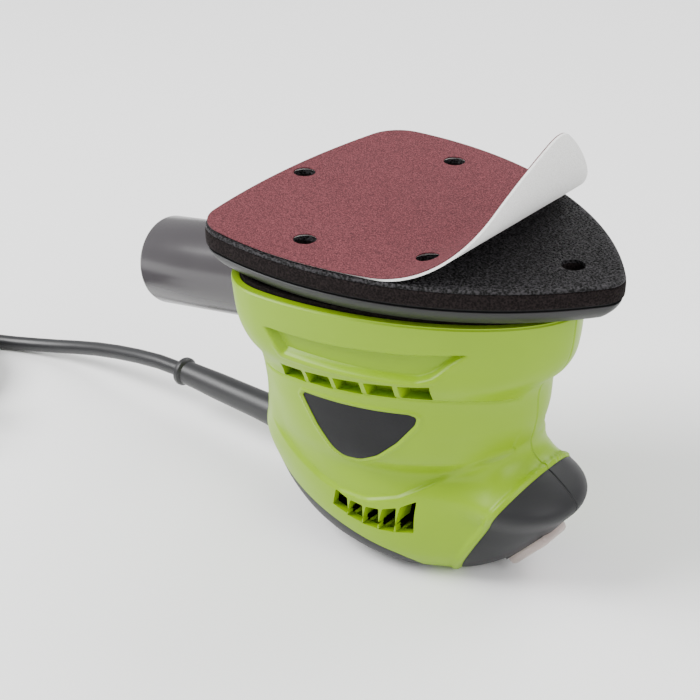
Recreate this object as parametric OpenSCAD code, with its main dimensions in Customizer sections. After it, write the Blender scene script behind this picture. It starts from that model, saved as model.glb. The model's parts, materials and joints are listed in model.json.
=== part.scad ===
// Corded delta palm sander, resting upside down on its palm grip with the sanding sole facing up.
// Millimetres. The drive axis is the Z axis, +X points to the nose, and z = 0 is the resting surface.

/* [Body] */
// Height of the body from the resting surface to its open rim
body_h = 110; // [92:1:132]
// Length of the body at the rim
body_l = 120; // [100:1:144]
// Width of the body at the rim
body_w = 112; // [94:1:134]
// Wall of the two body shells
wall = 2.8; // [2.4:0.1:3.4]
// Thickness of the soft nose and palm grips
grip_t = 1.5; // [1:0.1:1.6]
// Thickness of the name plates, which are blank
badge_t = 0.9; // [0.6:0.1:1.2]
// Gap left round pieces that are laid into a pocket
fit_gap = 0.1; // [0.05:0.05:0.3]

/* [Sanding pad] */
// Length of the delta pad
pad_l = 140; // [118:1:168]
// Width of the delta pad
pad_w = 116; // [97:1:139]
// Distance from the drive axis back to the pad's rear edge
pad_rear = 55.5; // [50:0.5:62]
// Radius of the pad's nose
pad_nose_r = 9; // [8:0.5:14]
// Radius of the pad's rear corners
pad_corner_r = 15; // [10:1:20]
// Gap between the body's rim and the pad
pad_gap = 1.5; // [1:0.1:3]
// Thickness of the rigid base plate
plate_t = 8.5; // [7:0.1:10.2]
// How far the base plate's flank tapers in
plate_taper = 7; // [3:0.5:7.5]
// Thickness of the foam cushion
foam_t = 5.5; // [4:0.1:7]
// Thickness of the hook layer
hook_t = 1.3; // [1:0.1:2]
// Thickness of the sheet's fleece backing
fleece_t = 0.6; // [0.4:0.1:1]
// Thickness of the sheet's abrasive paper
paper_t = 0.6; // [0.4:0.1:1]
// Diameter of the dust holes
dust_hole_d = 8; // [6:0.5:10]

/* [Peeled nose of the sheet] */
// Distance from the drive axis to the line where the sheet lifts
peel_x = 22; // [15:1:30]
// Radius of the curl
peel_r = 32; // [25:1:40]
// Angle that the curl turns through, in degrees
peel_angle = 73; // [50:1:85]

/* [Drive] */
// Radius of the pad's circular orbit
orbit_r = 1; // [0.8:0.1:1.2]
// Diameter of the motor shaft
shaft_d = 8; // [7:0.5:9]
// Outer diameter of the stator core
stator_d = 62; // [54:1:64]
// Diameter of the armature core
armature_d = 36; // [32:1:38]
// Height of the stator core
stator_h = 26; // [22:1:30]
// Outer diameter of the two shaft bearings
bearing_d = 22; // [20:1:24]
// Width of the two shaft bearings
bearing_w = 7; // [6:0.5:8]
// Outer diameter of the eccentric bearing
ecc_bearing_d = 28; // [26:1:30]
// Diameter of the fan
fan_d = 66; // [56:1:67]
// Running clearance between turning fits
run_gap = 0.03; // [0.02:0.01:0.08]

/* [Dust outlet] */
// Outer diameter of the dust outlet tube
port_d = 35; // [30:0.5:38]
// Wall of the dust outlet tube
port_wall = 2; // [1.6:0.1:3]
// Length of the tube outside the body
port_l = 70; // [58:1:84]
// Tilt of the tube, in degrees
port_tilt = 11; // [6:1:14]
// Height of the tube's axis where it enters the body, down from the rim
port_drop = 26; // [24:0.5:28]
// Sliding clearance of the tube in its socket
port_gap = 0.3; // [0.2:0.05:0.5]

/* [Switch] */
// Length of the rocker switch
switch_l = 21; // [19:0.5:22]
// Width of the rocker switch
switch_w = 15; // [13:0.5:16]
// Tilt of the rocker to each side, in degrees
rocker_tilt = 7; // [4:1:9]

/* [Cord] */
// Diameter of the mains cord
cord_d = 6.2; // [5.4:0.1:7]
// Diameter of the cord guard where it leaves the body
guard_d = 13.5; // [12:0.5:15]
// Length of the cord guard outside the body
guard_l = 66; // [60:1:66]
// Height of the cord guard's axis
guard_z = 20; // [18:0.5:22]

/* [Hidden] */
$fn = 64;
TINY = 0.01;

GREEN = [0.62, 0.76, 0.12];
BLACK = [0.13, 0.13, 0.14];
GREY = [0.35, 0.35, 0.37];
STEEL = [0.72, 0.72, 0.74];
COPPER = [0.72, 0.42, 0.2];
BRASS = [0.8, 0.66, 0.3];

// ---------------------------------------------------------------- body shape
// Horizontal sections of the body for a 110 high, 120 long and 112 wide body. Each row holds the height,
// the rear, the front, the half width, the place of the widest point, the front and rear roundness,
// and the front and radius of the nose that grows out of the front.
SECTIONS = [
    [0, -5, 33, 15, 18, 2, 2, 38, 10],
    [2, -20, 40, 25, 16, 2, 2, 46, 15],
    [5, -31, 44, 31, 12, 2, 2, 50, 17],
    [10, -40, 48, 35.5, 7, 2, 2, 56, 20],
    [18, -48, 51, 38.5, 2, 2, 2, 63, 21],
    [27, -54, 52, 40, -2, 2, 2, 69.5, 21],
    [36, -55, 52, 41, -5, 1.8, 2.2, 74.5, 24],
    [44, -53, 52, 42, -7, 1.6, 2.2, 66, 18],
    [52, -51, 53.5, 44, -7, 2, 2.2, 50, 14],
    [64, -49, 56, 45.5, -8, 2, 2.3, 30, 12],
    [78, -49, 57, 47.5, -12, 2, 2.4, 20, 8],
    [86, -51, 64, 51.5, -18, 1.9, 2.4, 20, 8],
    [94, -52, 67.5, 53.5, -22, 1.75, 2.4, 20, 8],
    [110, -51, 69, 56, -24, 1.7, 2.4, 20, 8]
];
LEVELS = [0, 1, 2.5, 4.5, 7, 10, 14, 18, 22.5, 27, 31, 35, 38.5, 42, 45, 48, 52, 58, 64, 71, 77,
          80, 82.5, 85.5, 89, 94, 102, 110];
RING_N = 20;      // points along one side of a section
BLEND = 500;      // softness of the join between nose and body, in square millimetres
kx = body_l / 120;
ky = body_w / 112;
kz = body_h / 110;

// Value of column k at height z, on a smooth curve through the rows of table t.
function row_below(z, t) = max([for (i = [0:len(t) - 2]) if (t[i][0] <= z || i == 0) i]);
function slope(t, a, b, k) = (t[b][k] - t[a][k]) / (t[b][0] - t[a][0]);
function at(z, k, t = SECTIONS) =
    let (i = row_below(z, t), h = t[i + 1][0] - t[i][0], u = (z - t[i][0]) / h,
         m0 = slope(t, max(i - 1, 0), i + 1, k), m1 = slope(t, i, min(i + 2, len(t) - 1), k))
    (2 * pow(u, 3) - 3 * u * u + 1) * t[i][k] + (pow(u, 3) - 2 * u * u + u) * h * m0
    + (3 * u * u - 2 * pow(u, 3)) * t[i + 1][k] + (pow(u, 3) - u * u) * h * m1;
function section_at(z) = [for (k = [0:8]) k == 0 ? z : at(z, k)];

// Square of the body's half width at x, negative beyond its ends, and the same for the nose.
function body_sq(x, s) =
    let (front = x > s[4], u = front ? (x - s[4]) / (s[2] - s[4]) : (s[4] - x) / (s[4] - s[1]),
         n = front ? s[5] : s[6], g = 1 - pow(abs(u), n))
    g < 0 ? s[3] * s[3] * (1 - u * u) : s[3] * s[3] * pow(g, 2 / n);
function nose_sq(x, s) = s[8] * s[8] - pow(max(x - s[7] + s[8], 0), 2);
function half_sq(x, s) =
    let (a = body_sq(x, s), b = nose_sq(x, s))
    x < s[4] ? a
    : max(a, b) + pow(max(BLEND - abs(a - b), 0), 2) / (4 * BLEND) * min(1, (x - s[4]) / 20);
function front_end(s, lo, hi, n = 22) =
    let (mid = (lo + hi) / 2) n == 0 ? mid
    : half_sq(mid, s) > 0 ? front_end(s, mid, hi, n - 1) : front_end(s, lo, mid, n - 1);

// One section at real height z as a closed ring, moved inwards by d measured square to the skin.
function plain_ring(z) =
    let (s = section_at(z / kz), f = front_end(s, s[4], max(s[2], s[7]) + 12),
         side = [for (i = [0:RING_N - 1])
             let (x = s[1] + (f - s[1]) * (1 - cos(180 * i / (RING_N - 1))) / 2,
                  y = (i == 0 || i == RING_N - 1) ? 0 : sqrt(max(half_sq(x, s), 0)))
             [x * kx, y * ky]])
    concat([for (p = side) [p[0], -p[1]]], [for (i = [RING_N - 2:-1:1]) side[i]]);
function lean(z) =
    let (a = max(z / kz - 1, 0), b = min(z / kz + 1, 110), w = at(b, 3) - at(a, 3),
         l = (at(b, 2) - at(b, 1) - at(a, 2) + at(a, 1)) / 2, m = (w + l) / 2 / (b - a))
    min(2.4, sqrt(1 + m * m));
function ring(z, d) =
    let (r = plain_ring(z), n = len(r), k = d * lean(z))
    [for (i = [0:n - 1])
        let (t = r[(i + 1) % n] - r[(i + n - 1) % n], q = t / norm(t))
        [r[i][0] - q[1] * k, (i == 0 || i == RING_N - 1) ? 0 : r[i][1] + q[0] * k, z]];

// The solid body, inset by d, between two heights.
module body_solid(d, low = 0, high = body_h) {
    zs = concat([low], [for (z = LEVELS) if (z * kz > low + 0.4 && z * kz < high - 0.4) z * kz], [high]);
    n = 2 * RING_N - 2;
    points = [for (z = zs) each ring(min(z, body_h), d) + [for (i = [1:n]) [0, 0, max(z - body_h, 0)]]];
    sides = [for (k = [0:len(zs) - 2], i = [0:n - 1])
        let (a = k * n + i, b = k * n + (i + 1) % n) each [[a, a + n, b + n], [a, b + n, b]]];
    bottom = [for (i = [0:n - 1]) i];
    top = [for (i = [n - 1:-1:0]) (len(zs) - 1) * n + i];
    polyhedron(points, concat(sides, [bottom, top]), convexity = 8);
}

// A side view outline [x, z] pushed along Y from y0 to y1.
module side_prism(points, y0, y1) {
    translate([0, y1, 0]) rotate([90, 0, 0]) linear_extrude(y1 - y0) polygon(points);
}

// ---------------------------------------------------------------- places
BIG = 300;
floor_in = wall;                                // inside of the crown
deck_z = body_h - 26 * kz;                      // top of the deck that parts motor room and dust chamber
deck_t = 2.5;
deck_hole_r = 30;
plate_low = body_h + pad_gap;
plate_top = plate_low + plate_t;
foam_top = plate_top + foam_t;
hook_top = foam_top + hook_t;
fleece_top = hook_top + fleece_t;
paper_top = fleece_top + paper_t;

lower_bearing_z = deck_z - bearing_w;           // lower face of the bearing beside the fan
upper_bearing_z = floor_in + 3.2;               // lower face of the bearing in the crown
sleeve_t = 2;
commutator_z = upper_bearing_z + bearing_w + 3;
commutator_h = 11;
commutator_d = 22;
stator_z = commutator_z + commutator_h + 8.5;
coil_end_h = 6.5;
fan_z = deck_z + deck_t + 2.5;
fan_h = 9.5;
crank_z = fan_z + fan_h + 5;                    // where the crank pin starts
crank_d = 12;
ecc_bearing_w = 8;
ecc_bearing_z = plate_low - 7;
hub_low = ecc_bearing_z - 0.5;
end_float = 0.05;                               // end play of the crank in its bearing
crank_top = ecc_bearing_z + ecc_bearing_w + end_float;
hub_flange_t = 2.5;
hub_flange_r = ecc_bearing_d / 2 + 9;
hub_r = ecc_bearing_d / 2 + 3;

// Screw bosses between the halves, as [x, z].
BOSSES = [[-25 * kx, 12 * kz], [-42 * kx, 52 * kz], [46.5 * kx, 61 * kz], [58 * kx, 37 * kz],
          [57 * kx, 97 * kz]];
boss_r = 3.4;
screw_r = 1.5;
screw_head_r = 2.8;
// Rubber posts between deck and pad, as [x, y].
POSTS = [[46 * kx, 17 * ky], [46 * kx, -17 * ky], [-36 * kx, 36 * ky], [-36 * kx, -36 * ky]];
post_r = 4.5;
post_room = orbit_r + 0.5;
// Dust holes, as [x, y].
DUST_HOLES = [for (p = [[-48, 0], [-12, -42], [-12, 42], [28.5, -28], [28.5, 28], [66, 0]])
    [p[0] * pad_l / 140, p[1] * pad_w / 116]];

port_r = port_d / 2;
socket_r = port_r + port_gap;
duct_r = socket_r + 2;
socket_l = 14;
port_z = body_h - port_drop;
// Places the children so that their -X runs out along the dust outlet, from the body's rear wall.
rear_x = -50.5 * kx;
module along_port() {
    translate([rear_x, 0, port_z]) rotate([0, -port_tilt, 0]) children();
}
module port_cylinder(r, x0, x1) {
    along_port() translate([x0, 0, 0]) rotate([0, 90, 0]) cylinder(h = x1 - x0, r = r);
}

// The switch sits on the underside of the nose, with its own +Z pointing out of the skin.
switch_x = 59.5 * kx;
switch_z = 14 * kz;
switch_turn = 131;
pocket_depth = 2.5;
module at_switch() {
    translate([switch_x, 0, switch_z]) rotate([0, switch_turn, 0]) children();
}
module block(l, w, z0, z1) {
    translate([-l / 2, -w / 2, z0]) cube([l, w, z1 - z0]);
}

// ---------------------------------------------------------------- body shells
// Where the soft grips cover the body.
module nose_zone(gap = 0) {
    foot = 37.5 * kx - gap;
    side_prism([[foot, -5], [foot + 0.53 * kx / kz * 50 * kz, 50 * kz], [BIG, 50 * kz], [BIG, -5]], -BIG, BIG);
}
module palm_zone(gap = 0) {
    side_prism([[-42 * kx - gap, -5], [-42 * kx - gap, 26 * kz], [-38 * kx, 27 * kz + gap],
                [22 * kx, 10.5 * kz + gap], [28 * kx + gap, 7 * kz], [30 * kx + gap, -5]], -BIG, BIG);
}
// Outline of the blank name plate.
module badge_zone(gap = 0) {
    side_prism([[-13 * kx - gap, 70.5 * kz], [-12 * kx, 72 * kz + gap], [29 * kx, 73.5 * kz + gap],
                [31.5 * kx + gap, 72.5 * kz], [31 * kx + gap, 69.5 * kz], [25 * kx + gap, 61 * kz],
                [16 * kx, 53.5 * kz - gap], [9 * kx, 50 * kz - gap], [4 * kx, 49.5 * kz - gap],
                [0, 52.5 * kz - gap], [-6 * kx - gap, 60 * kz]], -BIG, BIG);
}
// Shallow scoop in the side of the skirt.
module scoop_zone() {
    side_prism([[-20 * kx, 97 * kz], [-12 * kx, 89.5 * kz], [26 * kx, 88.5 * kz], [35 * kx, 92 * kz],
                [47 * kx, 99.5 * kz], [30 * kx, 97.5 * kz], [5 * kx, 96.5 * kz]], -BIG, BIG);
}
// Five slots in the sloping band under the skirt.
module upper_slots() {
    n = 5;
    first = -18 * kx;
    pitch = 11.3 * kx;
    rib = 1.6;
    for (i = [0:n - 1]) {
        x = first + i * pitch;
        z = (79 + 1.1 * i) * kz;
        side_prism([[x, z - 2.8 * kz], [x + pitch - rib, z - 2.2 * kz], [x + pitch - rib, z + 3 * kz],
                    [x, z + 2 * kz]], -BIG, BIG);
    }
}
// Five slots above the palm grip, under an arched edge.
function arch(x) = (29 + 0.02 * pow(x - 12, 2)) * kz;
function sill(x) = (20.5 + 0.012 * pow(x - 18, 2)) * kz;
VENT_X = -0.5;
VENT_PITCH = 6.1;
VENT_RIB = 1.3;
VENT_N = 5;
module lower_slots() {
    for (i = [0:VENT_N - 1]) {
        a = VENT_X + i * VENT_PITCH;
        b = a + VENT_PITCH - VENT_RIB;
        side_prism([[(a - 2) * kx, sill(a)], [b * kx, sill(b)], [b * kx, arch(b)], [a * kx, arch(a)]],
                   -BIG, BIG);
    }
}
// Everything outside the body's skin inset by d, within the zone given as children.
module skin_of(d) {
    difference() {
        children();
        body_solid(d, d, body_h + 1);
    }
}
module inner_rib(z0, z1, r) {
    difference() {
        body_solid(wall - 0.3, z0, z1);
        translate([0, 0, z0 - 1]) cylinder(h = z1 - z0 + 2, r = r);
    }
}
module shell_inside() {
    stator_room = stator_d / 2 + fit_gap;
    // Deck, stator ribs and the pocket behind the upper slots
    inner_rib(deck_z - deck_t, deck_z, deck_hole_r);
    for (z = [stator_z + 3, stator_z + stator_h - 6]) inner_rib(z, z + 3, stator_room);
    difference() {
        body_solid(6, 75 * kz, deck_z - deck_t + 0.5);
        body_solid(7.4, 75 * kz - 1, deck_z);
    }
    // Cup for the upper bearing
    translate([0, 0, floor_in - 0.3]) cylinder(h = upper_bearing_z + bearing_w - floor_in + 0.3,
                                               r = bearing_d / 2 + sleeve_t + 2.5);
    // Screw bosses
    intersection() {
        for (p = BOSSES) translate([p[0], BIG, p[1]]) rotate([90, 0, 0]) cylinder(h = 2 * BIG, r = boss_r, $fn = 24);
        body_solid(wall - 0.3, 2, body_h - 1);
    }
    // Seat behind the switch
    intersection() {
        at_switch() block(30, 24, -pocket_depth - 2.6, 0);
        body_solid(wall - 0.3, 3, 60);
    }
}
// side is 1 for the left shell and -1 for the right one.
module shell(side) {
    resize([0, 0, 0]) difference() {
        union() {
            difference() {
                body_solid(0);
                body_solid(wall, wall, body_h + 1);
                skin_of(grip_t) { nose_zone(); palm_zone(); }
                skin_of(badge_t) badge_zone(fit_gap);
                skin_of(1.6) scoop_zone();
                skin_of(5.8) upper_slots();
                skin_of(14) lower_slots();
            }
            intersection() {
                shell_inside();
                body_solid(wall - 0.4, wall - 0.4, body_h - 1);
            }
        }
        translate([-BIG, side > 0 ? -BIG : 0, -1]) cube([2 * BIG, BIG, 2 * BIG]);
        // Room for what the shells hold
        translate([0, 0, upper_bearing_z]) cylinder(h = 40, r = bearing_d / 2 + sleeve_t + fit_gap);
        translate([0, 0, floor_in + 0.5]) cylinder(h = 10, r = shaft_d / 2 + 1.5);
        port_cylinder(duct_r + port_gap, -30, socket_l + 3);
        guard_room();
        at_switch() {
            block(switch_l + 4 + 2 * fit_gap, switch_w + 4 + 2 * fit_gap, -pocket_depth, 20);
            block(switch_l - 1.7, switch_w - 1.7, -30, 0);
        }
        for (p = BOSSES) translate([p[0], 0, p[1]]) rotate([90, 0, 0]) {
            translate([0, 0, -BIG]) cylinder(h = BIG + 14, r = screw_r + fit_gap, $fn = 20);
            translate([0, 0, -BIG]) cylinder(h = BIG - 14, r = screw_head_r + fit_gap, $fn = 20);
        }
        for (p = POSTS) translate([p[0], p[1], deck_z - TINY]) cylinder(h = 30, r = post_r + fit_gap);
    }
}
module housing_left() { color(GREEN) shell(1); }
module housing_right() { color(GREEN) shell(-1); }

module nose_grip(side) {
    resize([0, 0, 0]) difference() {
        intersection() {
            body_solid(0);
            nose_zone(-fit_gap);
            translate([-BIG, side > 0 ? 0 : -BIG, -1]) cube([2 * BIG, BIG, BIG]);
        }
        body_solid(grip_t, grip_t, body_h + 1);
        at_switch() block(switch_l + 4 + 2 * fit_gap, switch_w + 4 + 2 * fit_gap, -pocket_depth, 20);
    }
}
module nose_grip_left() { color(BLACK) nose_grip(1); }
module nose_grip_right() { color(BLACK) nose_grip(-1); }

module palm_grip() {
    color(BLACK) resize([0, 0, 0]) difference() {
        intersection() {
            body_solid(0);
            palm_zone(-fit_gap);
        }
        body_solid(grip_t, grip_t, body_h + 1);
        guard_room();
    }
}

module badge(side) {
    resize([0, 0, 0]) difference() {
        intersection() {
            body_solid(0.2, 5, body_h);
            badge_zone();
            translate([-BIG, side > 0 ? 0 : -BIG, -1]) cube([2 * BIG, BIG, BIG]);
        }
        body_solid(badge_t, badge_t, body_h + 1);
    }
}
module badge_left() { color(BLACK) badge(1); }
module badge_right() { color(BLACK) badge(-1); }

// Screws that go in from the left and pull the halves together.
module housing_screws() {
    color(STEEL) for (p = BOSSES) translate([p[0], 0, p[1]]) rotate([90, 0, 0]) {
        translate([0, 0, -14]) cylinder(h = 26, r = screw_r, $fn = 24);
        translate([0, 0, -16]) cylinder(h = 2, r = screw_head_r, $fn = 24);
    }
}

// ---------------------------------------------------------------- switch
rocker_l = switch_l - 6;
rocker_w = switch_w - 5;
rocker_pivot = -2.2;
module switch_body() {
    color(BLACK) at_switch() difference() {
        union() {
            block(switch_l, switch_w, -pocket_depth, -1);
            block(switch_l - 2, switch_w - 2, -16, -pocket_depth);
        }
        block(rocker_l + 1, rocker_w + 0.6, -6, 0);
        translate([0, 0, rocker_pivot]) rotate([90, 0, 0])
            cylinder(h = switch_w - 3, r = 0.8 + run_gap, center = true);
    }
}
module switch_rocker() {
    h = rocker_l / 2;
    color([0.5, 0.08, 0.06]) at_switch() translate([0, 0, rocker_pivot]) rotate([0, rocker_tilt, 0]) {
        rotate([90, 0, 0]) linear_extrude(rocker_w, center = true)
            polygon([[-h, 1], [-h, 2.5], [0, 2], [h, 2.5], [h, 1], [2, -1.5], [-2, -1.5]]);
        rotate([90, 0, 0]) cylinder(h = switch_w - 3.4, r = 0.8, center = true);
    }
}
module switch_boot() {
    color([0.8, 0.8, 0.8, 0.5]) at_switch() difference() {
        block(switch_l + 4, switch_w + 4, -pocket_depth, 2.3);
        block(switch_l + 1, switch_w + 1, -pocket_depth - 1, 1.6);
    }
}

// ---------------------------------------------------------------- cord entry
guard_x = rear_x + 9.5 * kx;                    // inner face of the guard's flange
guard_end = rear_x - guard_l;
guard_tip_d = cord_d + 3.3;
guard_collar_l = 3;
flange_extra = 2.2;                             // how far the inner flange stands out round the guard
module along_guard(x) { translate([x, 0, guard_z]) rotate([0, -90, 0]) children(); }
module guard_room() {
    along_guard(guard_x + 6) cylinder(h = BIG, r = guard_d / 2 + fit_gap);
    along_guard(guard_x + 6) cylinder(h = 8 + fit_gap, r = guard_d / 2 + flange_extra + fit_gap);
}
module cord_guard() {
    root = rear_x - 6;
    color(BLACK) difference() {
        union() {
            along_guard(guard_x) cylinder(h = 2, r = guard_d / 2 + flange_extra);
            along_guard(guard_x) cylinder(h = guard_x - root, r = guard_d / 2);
            along_guard(root) cylinder(h = guard_l - 6 - guard_collar_l, r1 = guard_d / 2, r2 = guard_tip_d / 2);
            along_guard(guard_end + guard_collar_l) cylinder(h = guard_collar_l, r = guard_tip_d / 2 + 1.2);
        }
        along_guard(guard_x + 1) cylinder(h = 3, r = cord_d / 2);
    }
}
clamp_x = guard_x + 3;
terminal_x = clamp_x + 6.5;
// Cord from the guard through the clamp to the terminals.
module inner_lead() {
    color(BLACK) along_guard(terminal_x) cylinder(h = terminal_x - guard_x + 2, r = cord_d / 2);
}
module cord_clamp() {
    color(GREY) difference() {
        translate([clamp_x, -10, guard_z - 5]) cube([5, 20, 10]);
        along_guard(clamp_x + 6) cylinder(h = 8, r = cord_d / 2);
        for (y = [-7, 7]) translate([clamp_x + 2.5, y, guard_z - 6]) cylinder(h = 12, r = screw_r + fit_gap);
    }
}
module clamp_screws() {
    color(STEEL) for (y = [-7, 7]) translate([clamp_x + 2.5, y, 0]) {
        translate([0, 0, guard_z - 6]) cylinder(h = 11, r = screw_r);
        translate([0, 0, guard_z + 5]) cylinder(h = 1.6, r = 2.4);
    }
}
module terminal_block() {
    color(GREY) difference() {
        translate([terminal_x, -10, guard_z - 3]) cube([9, 20, 9]);
        for (y = [-5, 5]) translate([terminal_x + 4.5, y, guard_z]) cylinder(h = 10, r = 2);
    }
}
module capacitor() {
    color([0.75, 0.6, 0.2]) translate([stator_d / 2 + 4, -8, stator_z + 10]) cube([9, 16, 8]);
}

// ---------------------------------------------------------------- motor, fixed pieces
bore_r = armature_d / 2 + 0.6;
module stator_core() {
    color(STEEL) translate([0, 0, stator_z]) difference() {
        cylinder(h = stator_h, r = stator_d / 2);
        translate([0, 0, -1]) cylinder(h = stator_h + 2, r = bore_r);
    }
}
module field_coils() {
    color(COPPER) for (z = [stator_z - coil_end_h, stator_z + stator_h]) translate([0, 0, z]) difference() {
        cylinder(h = coil_end_h, r = stator_d / 2 - 4);
        translate([0, 0, -1]) cylinder(h = coil_end_h + 2, r = bore_r + 1);
    }
}
brush_z = commutator_z + commutator_h / 2;
brush_in = commutator_d / 2 + 0.1;
brush_out = 30 * ky;
module each_side() { for (a = [90, -90]) rotate([0, 0, a]) children(); }
module brush_holders() {
    color(BRASS) each_side() difference() {
        translate([brush_in + 2, -4, brush_z - 4]) cube([brush_out - brush_in - 2, 8, 8]);
        translate([brush_in, -2.6, brush_z - 2.6]) cube([brush_out - brush_in - 1.5, 5.2, 5.2]);
    }
}
module carbon_brushes() {
    color(BLACK) each_side() translate([brush_in, -2.5, brush_z - 2.5]) cube([10, 5, 5]);
}
module brush_springs() {
    color(STEEL) each_side() translate([brush_in + 10, 0, brush_z]) rotate([0, 90, 0]) difference() {
        cylinder(h = brush_out - brush_in - 11.5, r = 2.1, $fn = 24);
        translate([0, 0, -1]) cylinder(h = 30, r = 1.4, $fn = 24);
    }
}
module bearing(inner_r, outer_r, w) {
    difference() {
        cylinder(h = w, r = outer_r);
        translate([0, 0, -1]) cylinder(h = w + 2, r = inner_r);
        for (z = [-1, w - 0.5]) translate([0, 0, z]) difference() {
            cylinder(h = 1.5, r = outer_r - 1.6);
            translate([0, 0, -1]) cylinder(h = 4, r = inner_r + 1.6);
        }
    }
}
module upper_bearing() {
    color(STEEL) translate([0, 0, upper_bearing_z]) bearing(shaft_d / 2 + run_gap, bearing_d / 2, bearing_w);
}
module lower_bearing() {
    color(STEEL) translate([0, 0, lower_bearing_z]) bearing(shaft_d / 2 + run_gap, bearing_d / 2, bearing_w);
}
module bearing_sleeve() {
    color(BLACK) translate([0, 0, upper_bearing_z]) difference() {
        cylinder(h = bearing_w, r = bearing_d / 2 + sleeve_t);
        translate([0, 0, -1]) cylinder(h = bearing_w + 2, r = bearing_d / 2);
    }
}
bearing_plate_r = deck_hole_r + 4;
module bearing_plate() {
    boss = bearing_d / 2 + 3;
    color(GREY) difference() {
        union() {
            translate([0, 0, deck_z]) cylinder(h = deck_t, r = bearing_plate_r);
            translate([0, 0, lower_bearing_z]) cylinder(h = bearing_w + 1, r = boss);
        }
        translate([0, 0, lower_bearing_z - 1]) cylinder(h = bearing_w + 1, r = bearing_d / 2);
        translate([0, 0, deck_z - 1]) cylinder(h = deck_t + 2, r = shaft_d / 2 + 2);
        plate_screw_places() translate([0, 0, deck_z - 1]) cylinder(h = deck_t + 2, r = screw_r);
    }
}
module plate_screw_places() {
    for (a = [45:90:315]) rotate([0, 0, a]) translate([deck_hole_r + 2, 0, 0]) children();
}
module plate_screws() {
    color(STEEL) plate_screw_places() {
        translate([0, 0, deck_z]) cylinder(h = deck_t, r = screw_r, $fn = 24);
        translate([0, 0, deck_z + deck_t]) cylinder(h = 1.4, r = 1.9, $fn = 24);
    }
}

// ---------------------------------------------------------------- motor, turning pieces
shaft_low = upper_bearing_z - 2;
module motor_shaft() {
    color(STEEL) translate([0, 0, shaft_low]) cylinder(h = crank_z - 2 - shaft_low, r = shaft_d / 2);
}
module on_shaft(z, h, r) {
    translate([0, 0, z]) difference() {
        cylinder(h = h, r = r);
        translate([0, 0, -1]) cylinder(h = h + 2, r = shaft_d / 2);
    }
}
module armature_core() {
    slots = 12;
    color(STEEL) difference() {
        on_shaft(stator_z, stator_h, armature_d / 2);
        for (i = [0:slots - 1]) rotate([0, 0, i * 360 / slots]) translate([armature_d / 2 - 5, -1, stator_z - 1])
            cube([6, 2, stator_h + 2]);
    }
}
module armature_winding() {
    color(COPPER) for (z = [commutator_z + commutator_h + 0.5, stator_z + stator_h]) on_shaft(z, 7, armature_d / 2 - 3);
}
module commutator() {
    bars = 24;
    color(COPPER) difference() {
        on_shaft(commutator_z, commutator_h, commutator_d / 2);
        for (i = [0:bars - 1]) rotate([0, 0, (i + 0.5) * 360 / bars])
            translate([commutator_d / 2 - 1, -0.25, commutator_z - 1]) cube([2, 0.5, commutator_h + 2]);
    }
}
module fan() {
    blades = 9;
    hub = 9;
    color(BLACK) {
        on_shaft(fan_z, fan_h, hub);
        difference() {
            translate([0, 0, fan_z]) cylinder(h = 1.6, r = fan_d / 2);
            translate([0, 0, fan_z - 1]) cylinder(h = 4, r = hub);
        }
        for (i = [0:blades - 1]) rotate([0, 0, i * 360 / blades]) translate([hub - 0.5, -0.8, fan_z + 1.6])
            cube([fan_d / 2 - hub - 1, 1.6, fan_h - 1.6]);
    }
}
// Crank with its counterweight: the pin stands orbit_r off the shaft's axis.
module eccentric() {
    weight_r = 22;
    weight_z = fan_z + fan_h + 0.5;
    color(STEEL) difference() {
        union() {
            translate([0, 0, weight_z]) cylinder(h = crank_z - weight_z, r = 9);
            intersection() {
                translate([0, 0, weight_z]) cylinder(h = crank_z - weight_z, r = weight_r);
                translate([-weight_r, -weight_r, weight_z]) cube([weight_r - 3, 2 * weight_r, 10]);
            }
            translate([orbit_r, 0, crank_z - 1]) cylinder(h = ecc_bearing_z - end_float - crank_z + 1,
                                                         r = crank_d / 2 + 1.5);
            translate([orbit_r, 0, crank_z - 1]) cylinder(h = crank_top - crank_z + 1, r = crank_d / 2);
        }
        translate([0, 0, weight_z - 1]) cylinder(h = crank_z - 2 - weight_z + 1, r = shaft_d / 2);
        translate([orbit_r, 0, crank_z]) cylinder(h = 30, r = 2.5);
    }
}
module eccentric_washer() {
    color(STEEL) translate([orbit_r, 0, crank_top]) difference() {
        cylinder(h = 1.2, r = crank_d / 2 + 1.2);
        translate([0, 0, -1]) cylinder(h = 4, r = 2.5);
    }
}
module eccentric_screw() {
    color(STEEL) translate([orbit_r, 0, 0]) {
        translate([0, 0, crank_z]) cylinder(h = crank_top + 1.2 - crank_z, r = 2.5);
        translate([0, 0, crank_top + 1.2]) cylinder(h = 3, r = 4.4);
    }
}

// ---------------------------------------------------------------- dust path
hose_stop = 5;            // a slight shoulder, this far from the body, where a hose end stops
module dust_duct() {
    color(BLACK) difference() {
        port_cylinder(duct_r, 0.5, socket_l + 2);
        port_cylinder(socket_r, -1, socket_l + 0.5);
        difference() {
            port_cylinder(socket_r - 1.5, socket_l, socket_l + 4);
            translate([-BIG, -BIG, -BIG]) cube([2 * BIG, 2 * BIG, BIG + deck_z + 1]);
        }
    }
}
module dust_tube() {
    color(GREY) difference() {
        union() {
            port_cylinder(port_r, -port_l, -hose_stop);
            port_cylinder(port_r - 0.2, -hose_stop, socket_l - 1);
        }
        port_cylinder(port_r - port_wall, -port_l - 1, socket_l + 1);
    }
}
// Soft lip round the inside of the rim.
module dust_seal() {
    color(BLACK) resize([0, 0, 0]) difference() {
        body_solid(wall + 2 * fit_gap, body_h - 5, body_h + pad_gap - 0.3);
        body_solid(wall + 2, body_h - 6, body_h + pad_gap + 1);
    }
}
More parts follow.
